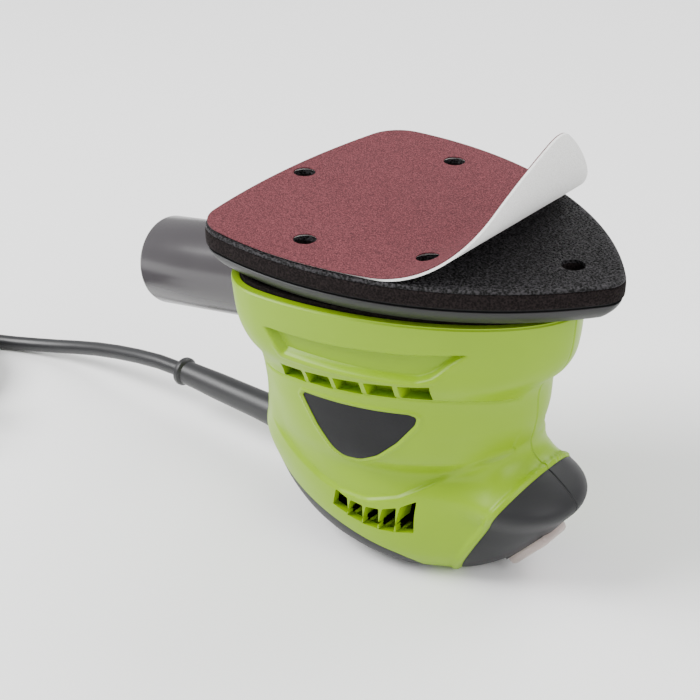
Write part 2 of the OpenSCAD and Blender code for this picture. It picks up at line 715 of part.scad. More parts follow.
// Posts that let the pad float; they stand on the deck and end in roomy pockets of the base plate.
module rubber_posts() {
    color(BLACK) for (p = POSTS) translate([p[0], p[1], deck_z]) cylinder(h = plate_low + 2 - deck_z, r = post_r);
}

// ---------------------------------------------------------------- pad
// Delta outline made of tangent arcs, each with its radius reduced by d: [centre x, centre y, radius,
// first angle, last angle, number of steps].
nose_x = pad_l - pad_rear;
side_mid = -20 * pad_l / 140;                   // where the pad is widest
half_w = pad_w / 2;
nose_c = nose_x - pad_nose_r;
side_r = (pow(nose_c - side_mid, 2) + pow(half_w, 2) - pow(pad_nose_r, 2)) / (2 * (half_w - pad_nose_r));
side_c = side_r - half_w;
rear_r = 280;
rear_c = rear_r - pad_rear;
// Corner centre: inside the rear arc and the side arc by the corner radius.
function meet(ax, ay, ar, bx, by, br) =
    let (d = norm([bx - ax, by - ay]), u = [bx - ax, by - ay] / d, k = (ar * ar - br * br + d * d) / (2 * d),
         h = sqrt(ar * ar - k * k))
    [ax + u[0] * k - u[1] * h, ay + u[1] * k + u[0] * h];
corner = meet(side_mid, -side_c, side_r - pad_corner_r, rear_c, 0, rear_r - pad_corner_r);
nose_a = atan2(side_c, nose_c - side_mid);
corner_side_a = atan2(corner[1] + side_c, corner[0] - side_mid);
corner_rear_a = atan2(corner[1], corner[0] - rear_c);
ARCS = [
    [nose_c, 0, pad_nose_r, 0, nose_a, 6],
    [side_mid, -side_c, side_r, nose_a, corner_side_a, 14],
    [corner[0], corner[1], pad_corner_r, corner_side_a, corner_rear_a, 6],
    [rear_c, 0, rear_r, corner_rear_a, 180, 3]
];
function half_outline(d) = [for (a = ARCS, i = [0:a[5] - 1])
    let (t = a[3] + (a[4] - a[3]) * i / a[5]) [a[0] + (a[2] - d) * cos(t), a[1] + (a[2] - d) * sin(t)]];
function pad_outline(d) =
    let (h = half_outline(d), n = len(h))
    concat(h, [[-pad_rear + d, 0]], [for (i = [n - 1:-1:1]) [h[i][0], -h[i][1]]]);
module dust_holes(z0, z1, r = dust_hole_d / 2, list = DUST_HOLES) {
    for (p = list) translate([p[0], p[1], z0]) cylinder(h = z1 - z0, r = r, $fn = 32);
}
module pad_layer(z0, z1, d) { translate([0, 0, z0]) linear_extrude(z1 - z0) polygon(pad_outline(d)); }

module pad_hub() {
    color(GREY) translate([orbit_r, 0, 0]) difference() {
        union() {
            translate([0, 0, hub_low]) cylinder(h = plate_low + hub_flange_t - hub_low, r = hub_r);
            translate([0, 0, plate_low]) cylinder(h = hub_flange_t, r = hub_flange_r);
        }
        translate([0, 0, hub_low - 1]) cylinder(h = ecc_bearing_z + ecc_bearing_w - hub_low + 1, r = ecc_bearing_d / 2);
        translate([0, 0, hub_low]) cylinder(h = 30, r = ecc_bearing_d / 2 - 3);
        hub_screw_places() translate([0, 0, plate_low - 1]) cylinder(h = 6, r = screw_r);
    }
}
module hub_screw_places() {
    for (a = [45:90:315]) rotate([0, 0, a]) translate([(hub_r + hub_flange_r) / 2, 0, 0]) children();
}
module hub_screws() {
    color(STEEL) translate([orbit_r, 0, 0]) hub_screw_places() {
        translate([0, 0, plate_low]) cylinder(h = hub_flange_t + 3, r = screw_r, $fn = 24);
        translate([0, 0, plate_low - 1.4]) cylinder(h = 1.4, r = 2.4, $fn = 24);
    }
}
module eccentric_bearing() {
    color(STEEL) translate([orbit_r, 0, ecc_bearing_z])
        bearing(crank_d / 2 + run_gap, ecc_bearing_d / 2, ecc_bearing_w);
}
module base_plate() {
    // Share of the height and share of the taper, from the underside up
    steps = [[0, 1], [0.22, 0.62], [0.45, 0.34], [0.68, 0.14], [0.86, 0.04], [0.87, 0.16], [1, 0.16]];
    n = len(pad_outline(0));
    points = [for (s = steps, p = pad_outline(s[1] * plate_taper + 0.4)) [p[0], p[1], plate_low + s[0] * plate_t]];
    sides = [for (k = [0:len(steps) - 2], i = [0:n - 1])
        let (a = k * n + i, b = k * n + (i + 1) % n) each [[a, a + n, b + n], [a, b + n, b]]];
    color(GREY) resize([0, 0, 0]) difference() {
        polyhedron(points, concat(sides, [[for (i = [0:n - 1]) i]],
                                  [[for (i = [n - 1:-1:0]) (len(steps) - 1) * n + i]]), convexity = 6);
        dust_holes(plate_low - 1, plate_top + 1, dust_hole_d / 2 + 0.5);
        translate([orbit_r, 0, plate_low - 1]) {
            cylinder(h = 1 + hub_flange_t, r = hub_flange_r + fit_gap, $fn = 48);
            cylinder(h = plate_t - 1.5, r = ecc_bearing_d / 2 - 3, $fn = 48);
            hub_screw_places() cylinder(h = 2 + hub_flange_t + 3, r = screw_r + fit_gap, $fn = 20);
        }
        for (p = POSTS) translate([p[0] + orbit_r, p[1], plate_low - 1]) cylinder(h = 3.5, r = post_r + post_room, $fn = 32);
    }
}
module foam_cushion() {
    color(BLACK) difference() {
        pad_layer(plate_top, foam_top, 0);
        dust_holes(plate_top - 1, foam_top + 1);
    }
}
module hook_layer() {
    color(BLACK) difference() {
        pad_layer(foam_top, hook_top, 0.4);
        dust_holes(foam_top - 1, hook_top + 1);
    }
}

// ---------------------------------------------------------------- sanding sheet
// The flat part ends at peel_x. Beyond it the sheet rolls up about an axis along Y, then runs straight.
sheet_inset = 0.8;
peel_arc = peel_r * peel_angle * PI / 180;
function curl_x(s, h) =
    let (a = min(s / peel_r * 180 / PI, peel_angle), rest = max(s - peel_arc, 0))
    peel_x + (peel_r - h) * sin(a) + rest * cos(a);
function curl_z(s, h) =
    let (a = min(s / peel_r * 180 / PI, peel_angle), rest = max(s - peel_arc, 0))
    hook_top + peel_r - (peel_r - h) * cos(a) + rest * sin(a);
// Half width of the sheet at x, read from its outline.
function sheet_half(x) =
    let (o = half_outline(sheet_inset), i = max([for (k = [0:len(o) - 2]) if (o[k][0] >= x) k]),
         u = (o[i][0] - x) / (o[i][0] - o[i + 1][0]))
    o[i][1] + (o[i + 1][1] - o[i][1]) * u;
curl_l = nose_x - sheet_inset - peel_x;
CURL_S = concat([for (i = [0:15]) curl_l * 0.94 * i / 15], [for (q = [0.96, 0.98, 0.993, 1]) curl_l * q]);
// The curled part between two depths below the bend's centre, h0 being the outer face.
module curl(h0, h1) {
    n = len(CURL_S);
    function row(s, h) = let (w = max(sheet_half(peel_x + s - TINY), 0.3)) [[curl_x(s, h), -w, curl_z(s, h)],
                                                                           [curl_x(s, h), w, curl_z(s, h)]];
    points = [for (s = CURL_S) each concat(row(s, h0), row(s, h1))];
    quads = [for (k = [0:n - 2]) let (a = 4 * k, b = a + 4)
        each [[b, b + 1, a + 1, a], [a + 3, b + 3, b + 2, a + 2], [a + 2, b + 2, b, a], [b + 1, b + 3, a + 3, a + 1]]];
    tris = [for (q = quads) each [[q[0], q[1], q[2]], [q[0], q[2], q[3]]]];
    e = 4 * (n - 1);
    polyhedron(points, concat(tris, [[3, 2, 0], [1, 3, 0]], [[e + 3, e + 1, e], [e + 2, e + 3, e]]));
}
module sheet_part(z0, z1) {
    resize([0, 0, 0]) union() {
        difference() {
            pad_layer(z0, z1, sheet_inset);
            translate([peel_x, -BIG, z0 - 1]) cube([BIG, 2 * BIG, 10]);
            dust_holes(z0 - 1, z1 + 1, list = [for (p = DUST_HOLES) if (p[0] < peel_x) p]);
        }
        difference() {
            curl(z0 - hook_top, z1 - hook_top);
            for (y = [-28, 28]) translate([28.5 * pad_l / 140, y * pad_w / 116, hook_top - 2])
                cylinder(h = 8, r = dust_hole_d / 2, $fn = 32);
        }
    }
}
module sheet_fleece() { color([0.95, 0.95, 0.93]) sheet_part(hook_top, fleece_top); }
module sheet_paper() { color([0.6, 0.33, 0.37]) sheet_part(fleece_top, paper_top); }

// ---------------------------------------------------------------- mains cord
// Route of the cord's centre line from the guard to the coil.
cord_r = cord_d / 2;
ROUTE = [
    [guard_end, 0, guard_z], [-130, 0, 19.2], [-142, 0, 17.4], [-155, 0, 14.8], [-168, 0, 11.6],
    [-180, -1, 8.6], [-191, -3, 6.1], [-202, -6, 4.3], [-212, -10, 3.4], [-221, -14, 3.1],
    [-230, -18.5, 3.1], [-239, -23, 3.1], [-248, -28.5, 3.1], [-256, -34.5, 3.1]
];
function route_dir(i) = let (n = len(ROUTE) - 1, a = max(i - 1, 0), b = min(i + 1, n), d = ROUTE[b] - ROUTE[a])
    i == 0 ? [-1, 0, 0] : d / norm(d);
module cord() {
    sides = 8;
    n = len(ROUTE);
    points = [for (i = [0:n - 1], k = [0:sides - 1])
        let (d = route_dir(i), u0 = cross([0, 0, 1], d), u = u0 / norm(u0), v = cross(d, u), a = 360 * k / sides)
        ROUTE[i] + cord_r * (cos(a) * u + sin(a) * v)];
    faces = [for (i = [0:n - 2], k = [0:sides - 1])
        let (a = i * sides + k, b = i * sides + (k + 1) % sides)
        each [[a, a + sides, b + sides], [a, b + sides, b]]];
    color(BLACK) polyhedron(points, concat(faces, [[for (k = [0:sides - 1]) k]],
                                           [[for (k = [sides - 1:-1:0]) (n - 1) * sides + k]]));
}
COIL = [-232, -66];          // centre of the coil
coil_turns_wide = 3;
coil_turns_high = 3;
coil_mean_r = 34;
coil_half = coil_turns_wide * cord_d / 2;
coil_h = coil_turns_high * cord_d;
tie_a = 250;
tie_t = 0.8;
module tie_loop() {
    translate([COIL[0], COIL[1], 0]) rotate([0, 0, tie_a]) translate([coil_mean_r, 0, 0]) difference() {
        translate([-coil_half - tie_t, -5, 0]) cube([2 * (coil_half + tie_t), 10, coil_h + tie_t]);
        translate([-coil_half, -6, tie_t]) cube([2 * coil_half, 12, coil_h - tie_t]);
    }
}
module cord_coil() {
    c = cord_r;
    color(BLACK) difference() {
        translate([COIL[0], COIL[1], 0]) rotate_extrude() polygon([
            [coil_mean_r - coil_half + c, 0], [coil_mean_r + coil_half - c, 0], [coil_mean_r + coil_half, c],
            [coil_mean_r + coil_half, coil_h - c], [coil_mean_r + coil_half - c, coil_h],
            [coil_mean_r - coil_half + c, coil_h], [coil_mean_r - coil_half, coil_h - c],
            [coil_mean_r - coil_half, c]]);
        tie_loop();
    }
}
module cord_tie() { color(GREY) tie_loop(); }

// The plug lies on the coil, pointing along plug_turn.
plug_l = 36;
plug_w = 35.3;
plug_t = 13.7;
plug_at = [-188.7, -79.8, coil_h + plug_t / 2]; // middle of the plug's face
plug_turn = 20;
module at_plug() { translate(plug_at) rotate([0, 0, plug_turn]) children(); }
module plug_body() {
    color(BLACK) at_plug() hull() {
        translate([-4, -plug_w / 2 + 3, -plug_t / 2]) cube([4, plug_w - 6, plug_t]);
        translate([-4, -plug_w / 2, -plug_t / 2 + 3]) cube([4, plug_w, plug_t - 6]);
        translate([-plug_l, 0, 0]) rotate([0, 90, 0]) cylinder(h = 2, r = 5, $fn = 32);
    }
}
module plug_pins() {
    color(STEEL) at_plug() for (y = [-9.5, 9.5]) translate([0, y, 0]) rotate([0, 90, 0]) {
        cylinder(h = 18, r = 2, $fn = 32);
        translate([0, 0, 18]) sphere(r = 2, $fn = 32);
    }
}

housing_left();
housing_right();
nose_grip_left();
nose_grip_right();
palm_grip();
badge_left();
badge_right();
housing_screws();
switch_body();
switch_rocker();
switch_boot();
cord_guard();
inner_lead();
cord_clamp();
clamp_screws();
terminal_block();
capacitor();
stator_core();
field_coils();
brush_holders();
carbon_brushes();
brush_springs();
bearing_plate();
plate_screws();
upper_bearing();
bearing_sleeve();
lower_bearing();
motor_shaft();
armature_core();
armature_winding();
commutator();
fan();
eccentric();
eccentric_washer();
eccentric_screw();
dust_duct();
dust_tube();
dust_seal();
rubber_posts();
eccentric_bearing();
pad_hub();
hub_screws();
base_plate();
foam_cushion();
hook_layer();
sheet_fleece();
sheet_paper();
cord();
cord_coil();
cord_tie();
plug_body();
plug_pins();
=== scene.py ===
"""Corded delta palm sander, resting upside down with its sanding sheet half peeled off.

Lengths in the dataclasses are millimetres in the CAD's frame; meshes are made in metres.
"""
import json
import logging
import math
from dataclasses import dataclass, field
from enum import Enum
from typing import Sequence

import bmesh
import bpy
import numpy as np
from mathutils import Matrix, Vector


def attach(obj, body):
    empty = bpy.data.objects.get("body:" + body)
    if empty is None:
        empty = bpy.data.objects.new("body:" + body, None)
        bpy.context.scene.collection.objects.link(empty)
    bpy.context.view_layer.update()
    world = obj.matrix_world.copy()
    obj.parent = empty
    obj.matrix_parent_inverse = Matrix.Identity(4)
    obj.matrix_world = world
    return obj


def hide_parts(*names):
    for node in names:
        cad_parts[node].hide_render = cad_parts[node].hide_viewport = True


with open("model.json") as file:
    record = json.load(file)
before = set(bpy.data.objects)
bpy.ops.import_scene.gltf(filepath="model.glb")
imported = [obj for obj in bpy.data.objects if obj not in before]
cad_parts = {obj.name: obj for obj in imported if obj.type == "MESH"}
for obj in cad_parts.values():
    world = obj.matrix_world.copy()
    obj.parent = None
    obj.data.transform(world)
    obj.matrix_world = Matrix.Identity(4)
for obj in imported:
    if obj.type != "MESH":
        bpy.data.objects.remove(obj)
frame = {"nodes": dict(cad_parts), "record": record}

LOG = logging.getLogger("sander")
MM = 0.001
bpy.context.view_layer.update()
OUTLET_MOUTH = (-50.5, 0.0, 84.0)
OUTLET_RISE = 11.0
CORD_SPOT = (0.0, 0.0, 20.0)
SWITCH_SPOT = (59.5, 0.0, 14.0)
SWITCH_TURN = 131.0
ABOVE_RIM = 111.0
THROUGH = (-90.0, 90.0)
Point = tuple[float, float]
Outline = Sequence[Point]


# ------------------------------------------------------------------ finishes
class Grain(Enum):
    """Kinds of surface relief that a finish can carry."""

    MOULDED = "moulded"
    FOAM = "foam"
    HOOKS = "hooks"
    FLEECE = "fleece"
    GRIT = "grit"
    BRUSHED = "brushed"


@dataclass(frozen=True)
class Finish:
    """One material: its colour, gloss and grain.

    Args:
        name: name of the material.
        colour: base colour, linear RGB.
        dark: second colour that the grain or the slow variation mixes in.
        roughness: middle roughness.
        grain: kind of relief.
        scale: size of the grain, in cells per metre.
        depth: height of the grain, in metres.
        metallic: 0 or 1.
        coat: strength of a clear coat.
        sheen: strength of a soft sheen.
        see_through: share of light that passes.
        gloss: strength of the mirror-like reflection, 0.5 for a clean plastic.
    """

    name: str
    colour: tuple[float, float, float]
    dark: tuple[float, float, float]
    roughness: float = 0.45
    grain: Grain = Grain.MOULDED
    scale: float = 2600.0
    depth: float = 0.00002
    metallic: float = 0.0
    coat: float = 0.0
    sheen: float = 0.0
    see_through: float = 0.0
    gloss: float = 0.5

    def build(self) -> bpy.types.Material:
        """Makes the node material.

        Returns:
            The new material.
        """
        material = bpy.data.materials.new(self.name)
        material.use_nodes = True
        tree = material.node_tree
        shader = tree.nodes["Principled BSDF"]
        shader.inputs["Metallic"].default_value = self.metallic
        shader.inputs["Coat Weight"].default_value = self.coat
        shader.inputs["Sheen Weight"].default_value = self.sheen
        shader.inputs["Specular IOR Level"].default_value = self.gloss
        shader.inputs["Transmission Weight"].default_value = self.see_through
        place = tree.nodes.new("ShaderNodeTexCoord").outputs["Object"]
        slow = self._noise(tree, place, 38.0, 3.0)
        fine = self._relief(tree, place)
        share = fine if self.grain in (Grain.GRIT, Grain.HOOKS, Grain.FOAM, Grain.FLEECE) else slow
        tree.links.new(self._ramp(tree, share), shader.inputs["Base Color"])
        spread = tree.nodes.new("ShaderNodeMapRange")
        spread.inputs["To Min"].default_value = max(self.roughness - 0.06, 0.03)
        spread.inputs["To Max"].default_value = min(self.roughness + 0.08, 1.0)
        tree.links.new(slow, spread.inputs["Value"])
        tree.links.new(spread.outputs["Result"], shader.inputs["Roughness"])
        bump = tree.nodes.new("ShaderNodeBump")
        bump.inputs["Strength"].default_value = 1.0
        bump.inputs["Distance"].default_value = self.depth
        tree.links.new(fine, bump.inputs["Height"])
        tree.links.new(bump.outputs["Normal"], shader.inputs["Normal"])
        return material

    def _noise(self, tree: bpy.types.NodeTree, place: bpy.types.NodeSocket, scale: float,
               detail: float) -> bpy.types.NodeSocket:
        """Adds a noise texture and returns its value.

        Args:
            tree: the material's nodes.
            place: where the texture reads its position.
            scale: cells per metre.
            detail: how many finer layers are added.

        Returns:
            The socket with the value.
        """
        node = tree.nodes.new("ShaderNodeTexNoise")
        node.inputs["Scale"].default_value = scale
        node.inputs["Detail"].default_value = detail
        tree.links.new(place, node.inputs["Vector"])
        return node.outputs[0]

    def _cells(self, tree: bpy.types.NodeTree, place: bpy.types.NodeSocket, scale: float,
               output: str) -> bpy.types.NodeSocket:
        """Adds a cell texture and returns the named output.

        Args:
            tree: the material's nodes.
            place: where the texture reads its position.
            scale: cells per metre.
            output: name of the socket wanted.

        Returns:
            The named socket.
        """
        node = tree.nodes.new("ShaderNodeTexVoronoi")
        node.inputs["Scale"].default_value = scale
        tree.links.new(place, node.inputs["Vector"])
        return node.outputs[output]

    def _blend(self, tree: bpy.types.NodeTree, kind: str, a: bpy.types.NodeSocket,
               b: bpy.types.NodeSocket) -> bpy.types.NodeSocket:
        """Joins two values with a Math node of the given kind.

        Args:
            tree: the material's nodes.
            kind: the operation.
            a: first value.
            b: second value.

        Returns:
            The socket with the result.
        """
        node = tree.nodes.new("ShaderNodeMath")
        node.operation = kind
        tree.links.new(a, node.inputs[0])
        tree.links.new(b, node.inputs[1])
        return node.outputs[0]

    def _relief(self, tree: bpy.types.NodeTree, place: bpy.types.NodeSocket) -> bpy.types.NodeSocket:
        """Adds the grain's textures and returns their height.

        Args:
            tree: the material's nodes.
            place: where the texture reads its position.

        Returns:
            The socket with the height.
        """
        noise = self._noise(tree, place, self.scale, 4.0)
        if self.grain is Grain.MOULDED:
            return noise
        if self.grain is Grain.BRUSHED:
            turn = tree.nodes.new("ShaderNodeMapping")
            turn.inputs["Scale"].default_value = (1.0, 1.0, 24.0)
            tree.links.new(place, turn.inputs["Vector"])
            return self._noise(tree, turn.outputs["Vector"], self.scale / 6, 2.0)
        if self.grain is Grain.GRIT:
            cells = self._cells(tree, place, self.scale, "Color")
            grey = tree.nodes.new("ShaderNodeSeparateColor")
            tree.links.new(cells, grey.inputs["Color"])
            return self._blend(tree, "MULTIPLY", grey.outputs["Red"], noise)
        cells = self._cells(tree, place, self.scale, "Distance")
        return self._blend(tree, "MULTIPLY", cells, noise)

    def _ramp(self, tree: bpy.types.NodeTree, share: bpy.types.NodeSocket) -> bpy.types.NodeSocket:
        """Turns a height or a slow noise into the mix of the two colours.

        Args:
            tree: the material's nodes.
            share: value that mixes the two colours.

        Returns:
            The socket with the colour.
        """
        ramp = tree.nodes.new("ShaderNodeValToRGB")
        low, high = {Grain.GRIT: (0.08, 0.55), Grain.HOOKS: (0.17, 0.36), Grain.FOAM: (0.1, 0.4),
                     Grain.FLEECE: (0.02, 0.3)}.get(self.grain, (0.3, 0.7))
        ramp.color_ramp.elements[0].position = low
        ramp.color_ramp.elements[1].position = high
        ramp.color_ramp.elements[0].color = (*self.dark, 1.0)
        ramp.color_ramp.elements[1].color = (*self.colour, 1.0)
        tree.links.new(share, ramp.inputs["Fac"])
        return ramp.outputs["Color"]


def _pair(name: str, colour: tuple[float, float, float], shade: float = 0.9, **more: object) -> Finish:
    """A finish whose second colour is a darker share of the first.

    Args:
        name: name of the material.
        colour: base colour, linear RGB.
        shade: share of it in the darker one.
        more: other fields of the finish.

    Returns:
        The finish.
    """
    return Finish(name, colour, tuple(c * shade for c in colour), **more)


FINISHES: dict[str, Finish] = {
    "green_shell": _pair("lime shell", (0.21, 0.36, 0.0), 0.94, roughness=0.38, scale=3200, depth=0.000012,
                         gloss=0.3),
    "soft_grip": _pair("soft grip", (0.018, 0.018, 0.02), 0.75, roughness=0.5, scale=2600, depth=0.00003,
                       gloss=0.25),
    "badge_plate": _pair("blank plate", (0.013, 0.013, 0.015), 0.5, roughness=0.55, scale=1700, depth=0.00006,
                         gloss=0.2),
    "black_plastic": _pair("black plastic", (0.02, 0.02, 0.021), 0.8, roughness=0.4),
    "pale_plastic": _pair("terminal plastic", (0.7, 0.67, 0.6), 0.94, roughness=0.45),
    "red_rocker": _pair("red rocker", (0.5, 0.02, 0.012), 0.9, roughness=0.22, coat=0.3),
    "clear_boot": _pair("clear boot", (0.7, 0.6, 0.56), 0.94, roughness=0.3, see_through=0.6),
    "cord_rubber": _pair("cord rubber", (0.02, 0.02, 0.022), 0.8, roughness=0.42, scale=1800, depth=0.00003),
    "capacitor_yellow": _pair("capacitor", (0.7, 0.48, 0.05), 0.9, roughness=0.25),
    "iron": _pair("iron laminations", (0.3, 0.3, 0.31), 0.6, roughness=0.45, metallic=1.0,
                  grain=Grain.BRUSHED),
    "copper": _pair("enamelled copper", (0.7, 0.28, 0.12), 0.8, roughness=0.3, metallic=1.0,
                    grain=Grain.BRUSHED),
    "brass": _pair("brass", (0.75, 0.55, 0.22), 0.8, roughness=0.3, metallic=1.0),
    "carbon": _pair("carbon", (0.03, 0.03, 0.03), 0.6, roughness=0.7),
    "steel": _pair("steel", (0.55, 0.55, 0.56), 0.8, roughness=0.28, metallic=1.0, grain=Grain.BRUSHED),
    "cast_aluminium": _pair("cast aluminium", (0.6, 0.6, 0.61), 0.8, roughness=0.45, metallic=1.0,
                            depth=0.00005),
    "plate_plastic": _pair("pad plate", (0.009, 0.009, 0.01), 0.8, roughness=0.42, scale=2400, depth=0.00002,
                           gloss=0.3),
    "tube_plastic": _pair("tube plastic", (0.045, 0.041, 0.045), 0.9, roughness=0.22, scale=1200,
                          depth=0.000006),
    "foam": Finish("foam", (0.016, 0.012, 0.012), (0.004, 0.003, 0.003), roughness=0.95, grain=Grain.FOAM,
                   scale=1500, depth=0.0003, gloss=0.08),
    "hooks": Finish("hook pile", (0.035, 0.033, 0.036), (0.001, 0.001, 0.001), roughness=0.55,
                    grain=Grain.HOOKS, scale=1100, depth=0.0007, gloss=0.14),
    "fleece": Finish("fleece", (0.9, 0.9, 0.88), (0.7, 0.69, 0.66), roughness=0.95, grain=Grain.FLEECE,
                     scale=2200, depth=0.0003, sheen=0.3),
    "abrasive": Finish("abrasive grit", (0.2, 0.05, 0.06), (0.06, 0.014, 0.018), roughness=0.75,
                       grain=Grain.GRIT, scale=3300, depth=0.00022, gloss=0.2),
    "plated_brass": _pair("plated pins", (0.8, 0.8, 0.8), 0.9, roughness=0.15, metallic=1.0),
}
MATERIALS: dict[str, bpy.types.Material] = {}


def finish(piece: bpy.types.Object, slot: str, smooth: float | None = 32.0) -> bpy.types.Object:
    """Gives a piece its finish and its shading.

    Args:
        piece: the object to dress.
        slot: name of the record's material slot.
        smooth: edges sharper than this many degrees stay hard; None leaves the shading alone.

    Returns:
        The same piece.
    """
    if slot not in MATERIALS:
        MATERIALS[slot] = FINISHES[slot].build()
    if piece.material_slots:
        piece.material_slots[0].material = MATERIALS[slot]
    else:
        piece.data.materials.append(MATERIALS[slot])
    if smooth is not None and piece.type == "MESH":
        piece.data.shade_smooth()
        piece.data.set_sharp_from_angle(angle=math.radians(smooth))
    return piece


# ------------------------------------------------------------------ mesh helpers
def piece_from(name: str, bm: bmesh.types.BMesh) -> bpy.types.Object:
    """Turns a bmesh into an object in the scene.

    Args:
        name: name of the piece.
        bm: the mesh, in metres, which is freed.

    Returns:
        The new object.
    """
    mesh = bpy.data.meshes.new(name)
    bm.to_mesh(mesh)
    bm.free()
    piece = bpy.data.objects.new(name, mesh)
    bpy.context.scene.collection.objects.link(piece)
    return piece


def outward(bm: bmesh.types.BMesh) -> None:
    """Turns every face of a closed bmesh outwards.

    Args:
        bm: a closed mesh.
    """
    bmesh.ops.recalc_face_normals(bm, faces=bm.faces)
    if bm.calc_volume(signed=True) < 0:
        bmesh.ops.reverse_faces(bm, faces=bm.faces)


def loft(rings: np.ndarray, closed_ends: bool = True) -> bmesh.types.BMesh:
    """Skins a stack of rings, starting from a grid whose two long edges are merged.

    Args:
        rings: array of rings, points and coordinates, in millimetres.
        closed_ends: whether the first and the last ring are filled.

    Returns:
        A bmesh in metres with its faces outwards.
    """
    rows, columns = rings.shape[0], rings.shape[1]
    bm = bmesh.new()
    bmesh.ops.create_grid(bm, x_segments=columns, y_segments=rows - 1, size=1.0)
    for v in bm.verts:
        i = round((v.co.x + 1) / 2 * columns) % columns
        j = round((v.co.y + 1) / 2 * (rows - 1))
        v.co = Vector(rings[j, i]) * MM
    bmesh.ops.remove_doubles(bm, verts=bm.verts, dist=1e-7)
    if closed_ends:
        bmesh.ops.holes_fill(bm, edges=[e for e in bm.edges if e.is_boundary], sides=0)
    outward(bm)
    return bm


def slab(outline: Outline, low: float, high: float) -> bmesh.types.BMesh:
    """A flat plate with the given outline in plan.

    Args:
        outline: points [x, y] in millimetres, in order.
        low: height of the underside.
        high: height of the top.

    Returns:
        A closed bmesh in metres.
    """
    bm = bmesh.new()
    ring = bmesh.ops.create_circle(bm, cap_ends=True, segments=len(outline), radius=1.0)["verts"]
    for v, (x, y) in zip(ring, outline):
        v.co = Vector((x, y, low)) * MM
    moved = bmesh.ops.extrude_face_region(bm, geom=list(bm.faces))["geom"]
    bmesh.ops.translate(bm, vec=(0, 0, (high - low) * MM),
                        verts=[g for g in moved if isinstance(g, bmesh.types.BMVert)])
    outward(bm)
    return bm


def side_prism(outline: Outline, y0: float, y1: float) -> bmesh.types.BMesh:
    """A side-view outline [x, z] pushed along Y from y0 to y1, in millimetres.

    Args:
        outline: points [x, z] in millimetres.
        y0: one end along Y.
        y1: the other end.

    Returns:
        A closed bmesh in metres.
    """
    bm = slab(outline, y0, y1)
    for v in bm.verts:
        v.co = Vector((v.co.x, v.co.z, v.co.y))
    outward(bm)
    return bm


def block(low: Sequence[float], high: Sequence[float], place: Matrix | None = None,
          edge: float = 0.0) -> bmesh.types.BMesh:
    """A box between two corners in millimetres, its edges rounded, then put in place.

    Args:
        low: lowest corner.
        high: highest corner.
        place: where the box goes, or None.
        edge: radius of the edges.

    Returns:
        A closed bmesh in metres.
    """
    bm = bmesh.new()
    bmesh.ops.create_cube(bm, size=1.0)
    for v in bm.verts:
        v.co = Vector([((a + b) / 2 + c * (b - a)) * MM for a, b, c in zip(low, high, v.co)])
    if edge:
        bmesh.ops.bevel(bm, geom=list(bm.edges), offset=edge * MM, segments=3, profile=0.5, affect="EDGES",
                        material=-1)
    if place is not None:
        bm.transform(place)
    return bm


def turned(profile: Outline, place: Matrix, steps: int = 72) -> bmesh.types.BMesh:
    """Spins a closed profile [radius, height] about Z and puts it in place.

    Args:
        profile: points in millimetres, in order round the section.
        place: where the axis goes.
        steps: number of facets round the axis.

    Returns:
        A closed bmesh in metres.
    """
    bm = bmesh.new()
    ring = bmesh.ops.create_circle(bm, segments=len(profile), radius=1.0)["verts"]
    for v, (r, z) in zip(ring, profile):
        v.co = Vector((r, 0, z)) * MM
    bmesh.ops.spin(bm, geom=list(bm.verts) + list(bm.edges), cent=(0, 0, 0), axis=(0, 0, 1), angle=math.tau,
                   steps=steps, use_merge=True)
    bmesh.ops.remove_doubles(bm, verts=bm.verts, dist=1e-7)
    outward(bm)
    bm.transform(place)
    return bm


def rod(radius: float, low: float, high: float, place: Matrix, steps: int = 40) -> bmesh.types.BMesh:
    """A plain closed cylinder along its own Z, in millimetres, used as a cutter or a pillar.

    Args:
        radius: radius of the rod.
        low: height of its lower end.
        high: height of its upper end.
        place: where its axis goes.
        steps: number of facets.

    Returns:
        A closed bmesh in metres.
    """
    bm = bmesh.new()
    bmesh.ops.create_cone(bm, cap_ends=True, segments=steps, radius1=radius * MM, radius2=radius * MM,
                          depth=(high - low) * MM)
    bmesh.ops.translate(bm, verts=bm.verts, vec=(0, 0, (low + high) / 2 * MM))
    bm.transform(place)
    return bm


def join(into: bmesh.types.BMesh, other: bmesh.types.BMesh) -> None:
    """Adds one bmesh to another.

    Args:
        into: the bmesh that grows.
        other: the bmesh that is added and freed.
    """
    mesh = bpy.data.meshes.new("part")
    other.to_mesh(mesh)
    other.free()
    into.from_mesh(mesh)
    bpy.data.meshes.remove(mesh)


def placed(spot: Sequence[float], degrees: float = 0.0, axis: str = "Y") -> Matrix:
    """A frame at a spot in millimetres, turned about one axis.

    Args:
        spot: where it stands.
        degrees: how far it is turned.
        axis: the axis that it turns about.

    Returns:
        The frame, in metres.
    """
    return Matrix.Translation(Vector(spot) * MM) @ Matrix.Rotation(math.radians(degrees), 4, axis)


def carve(piece: bpy.types.Object, *cutters: bpy.types.Object,
          within: bpy.types.Object | None = None) -> bpy.types.Object:
    """Keeps what of a piece lies within one solid and outside the others, after its modifiers.

    Args:
        piece: the solid to work on.
        cutters: the solids taken away.
        within: the solid to stay inside, or None.

    Returns:
        The same piece with its new mesh.
    """
    inside = [("INTERSECT", within)] if within else []
    for operation, other in inside + [("DIFFERENCE", cutter) for cutter in cutters]:
        step = piece.modifiers.new("cut", "BOOLEAN")
        step.operation = operation
        step.solver = "MANIFOLD"
        step.object = other
    view = bpy.context.evaluated_depsgraph_get()
    mesh = bpy.data.meshes.new_from_object(piece.evaluated_get(view))
    piece.modifiers.clear()
    piece.data = mesh
    return piece


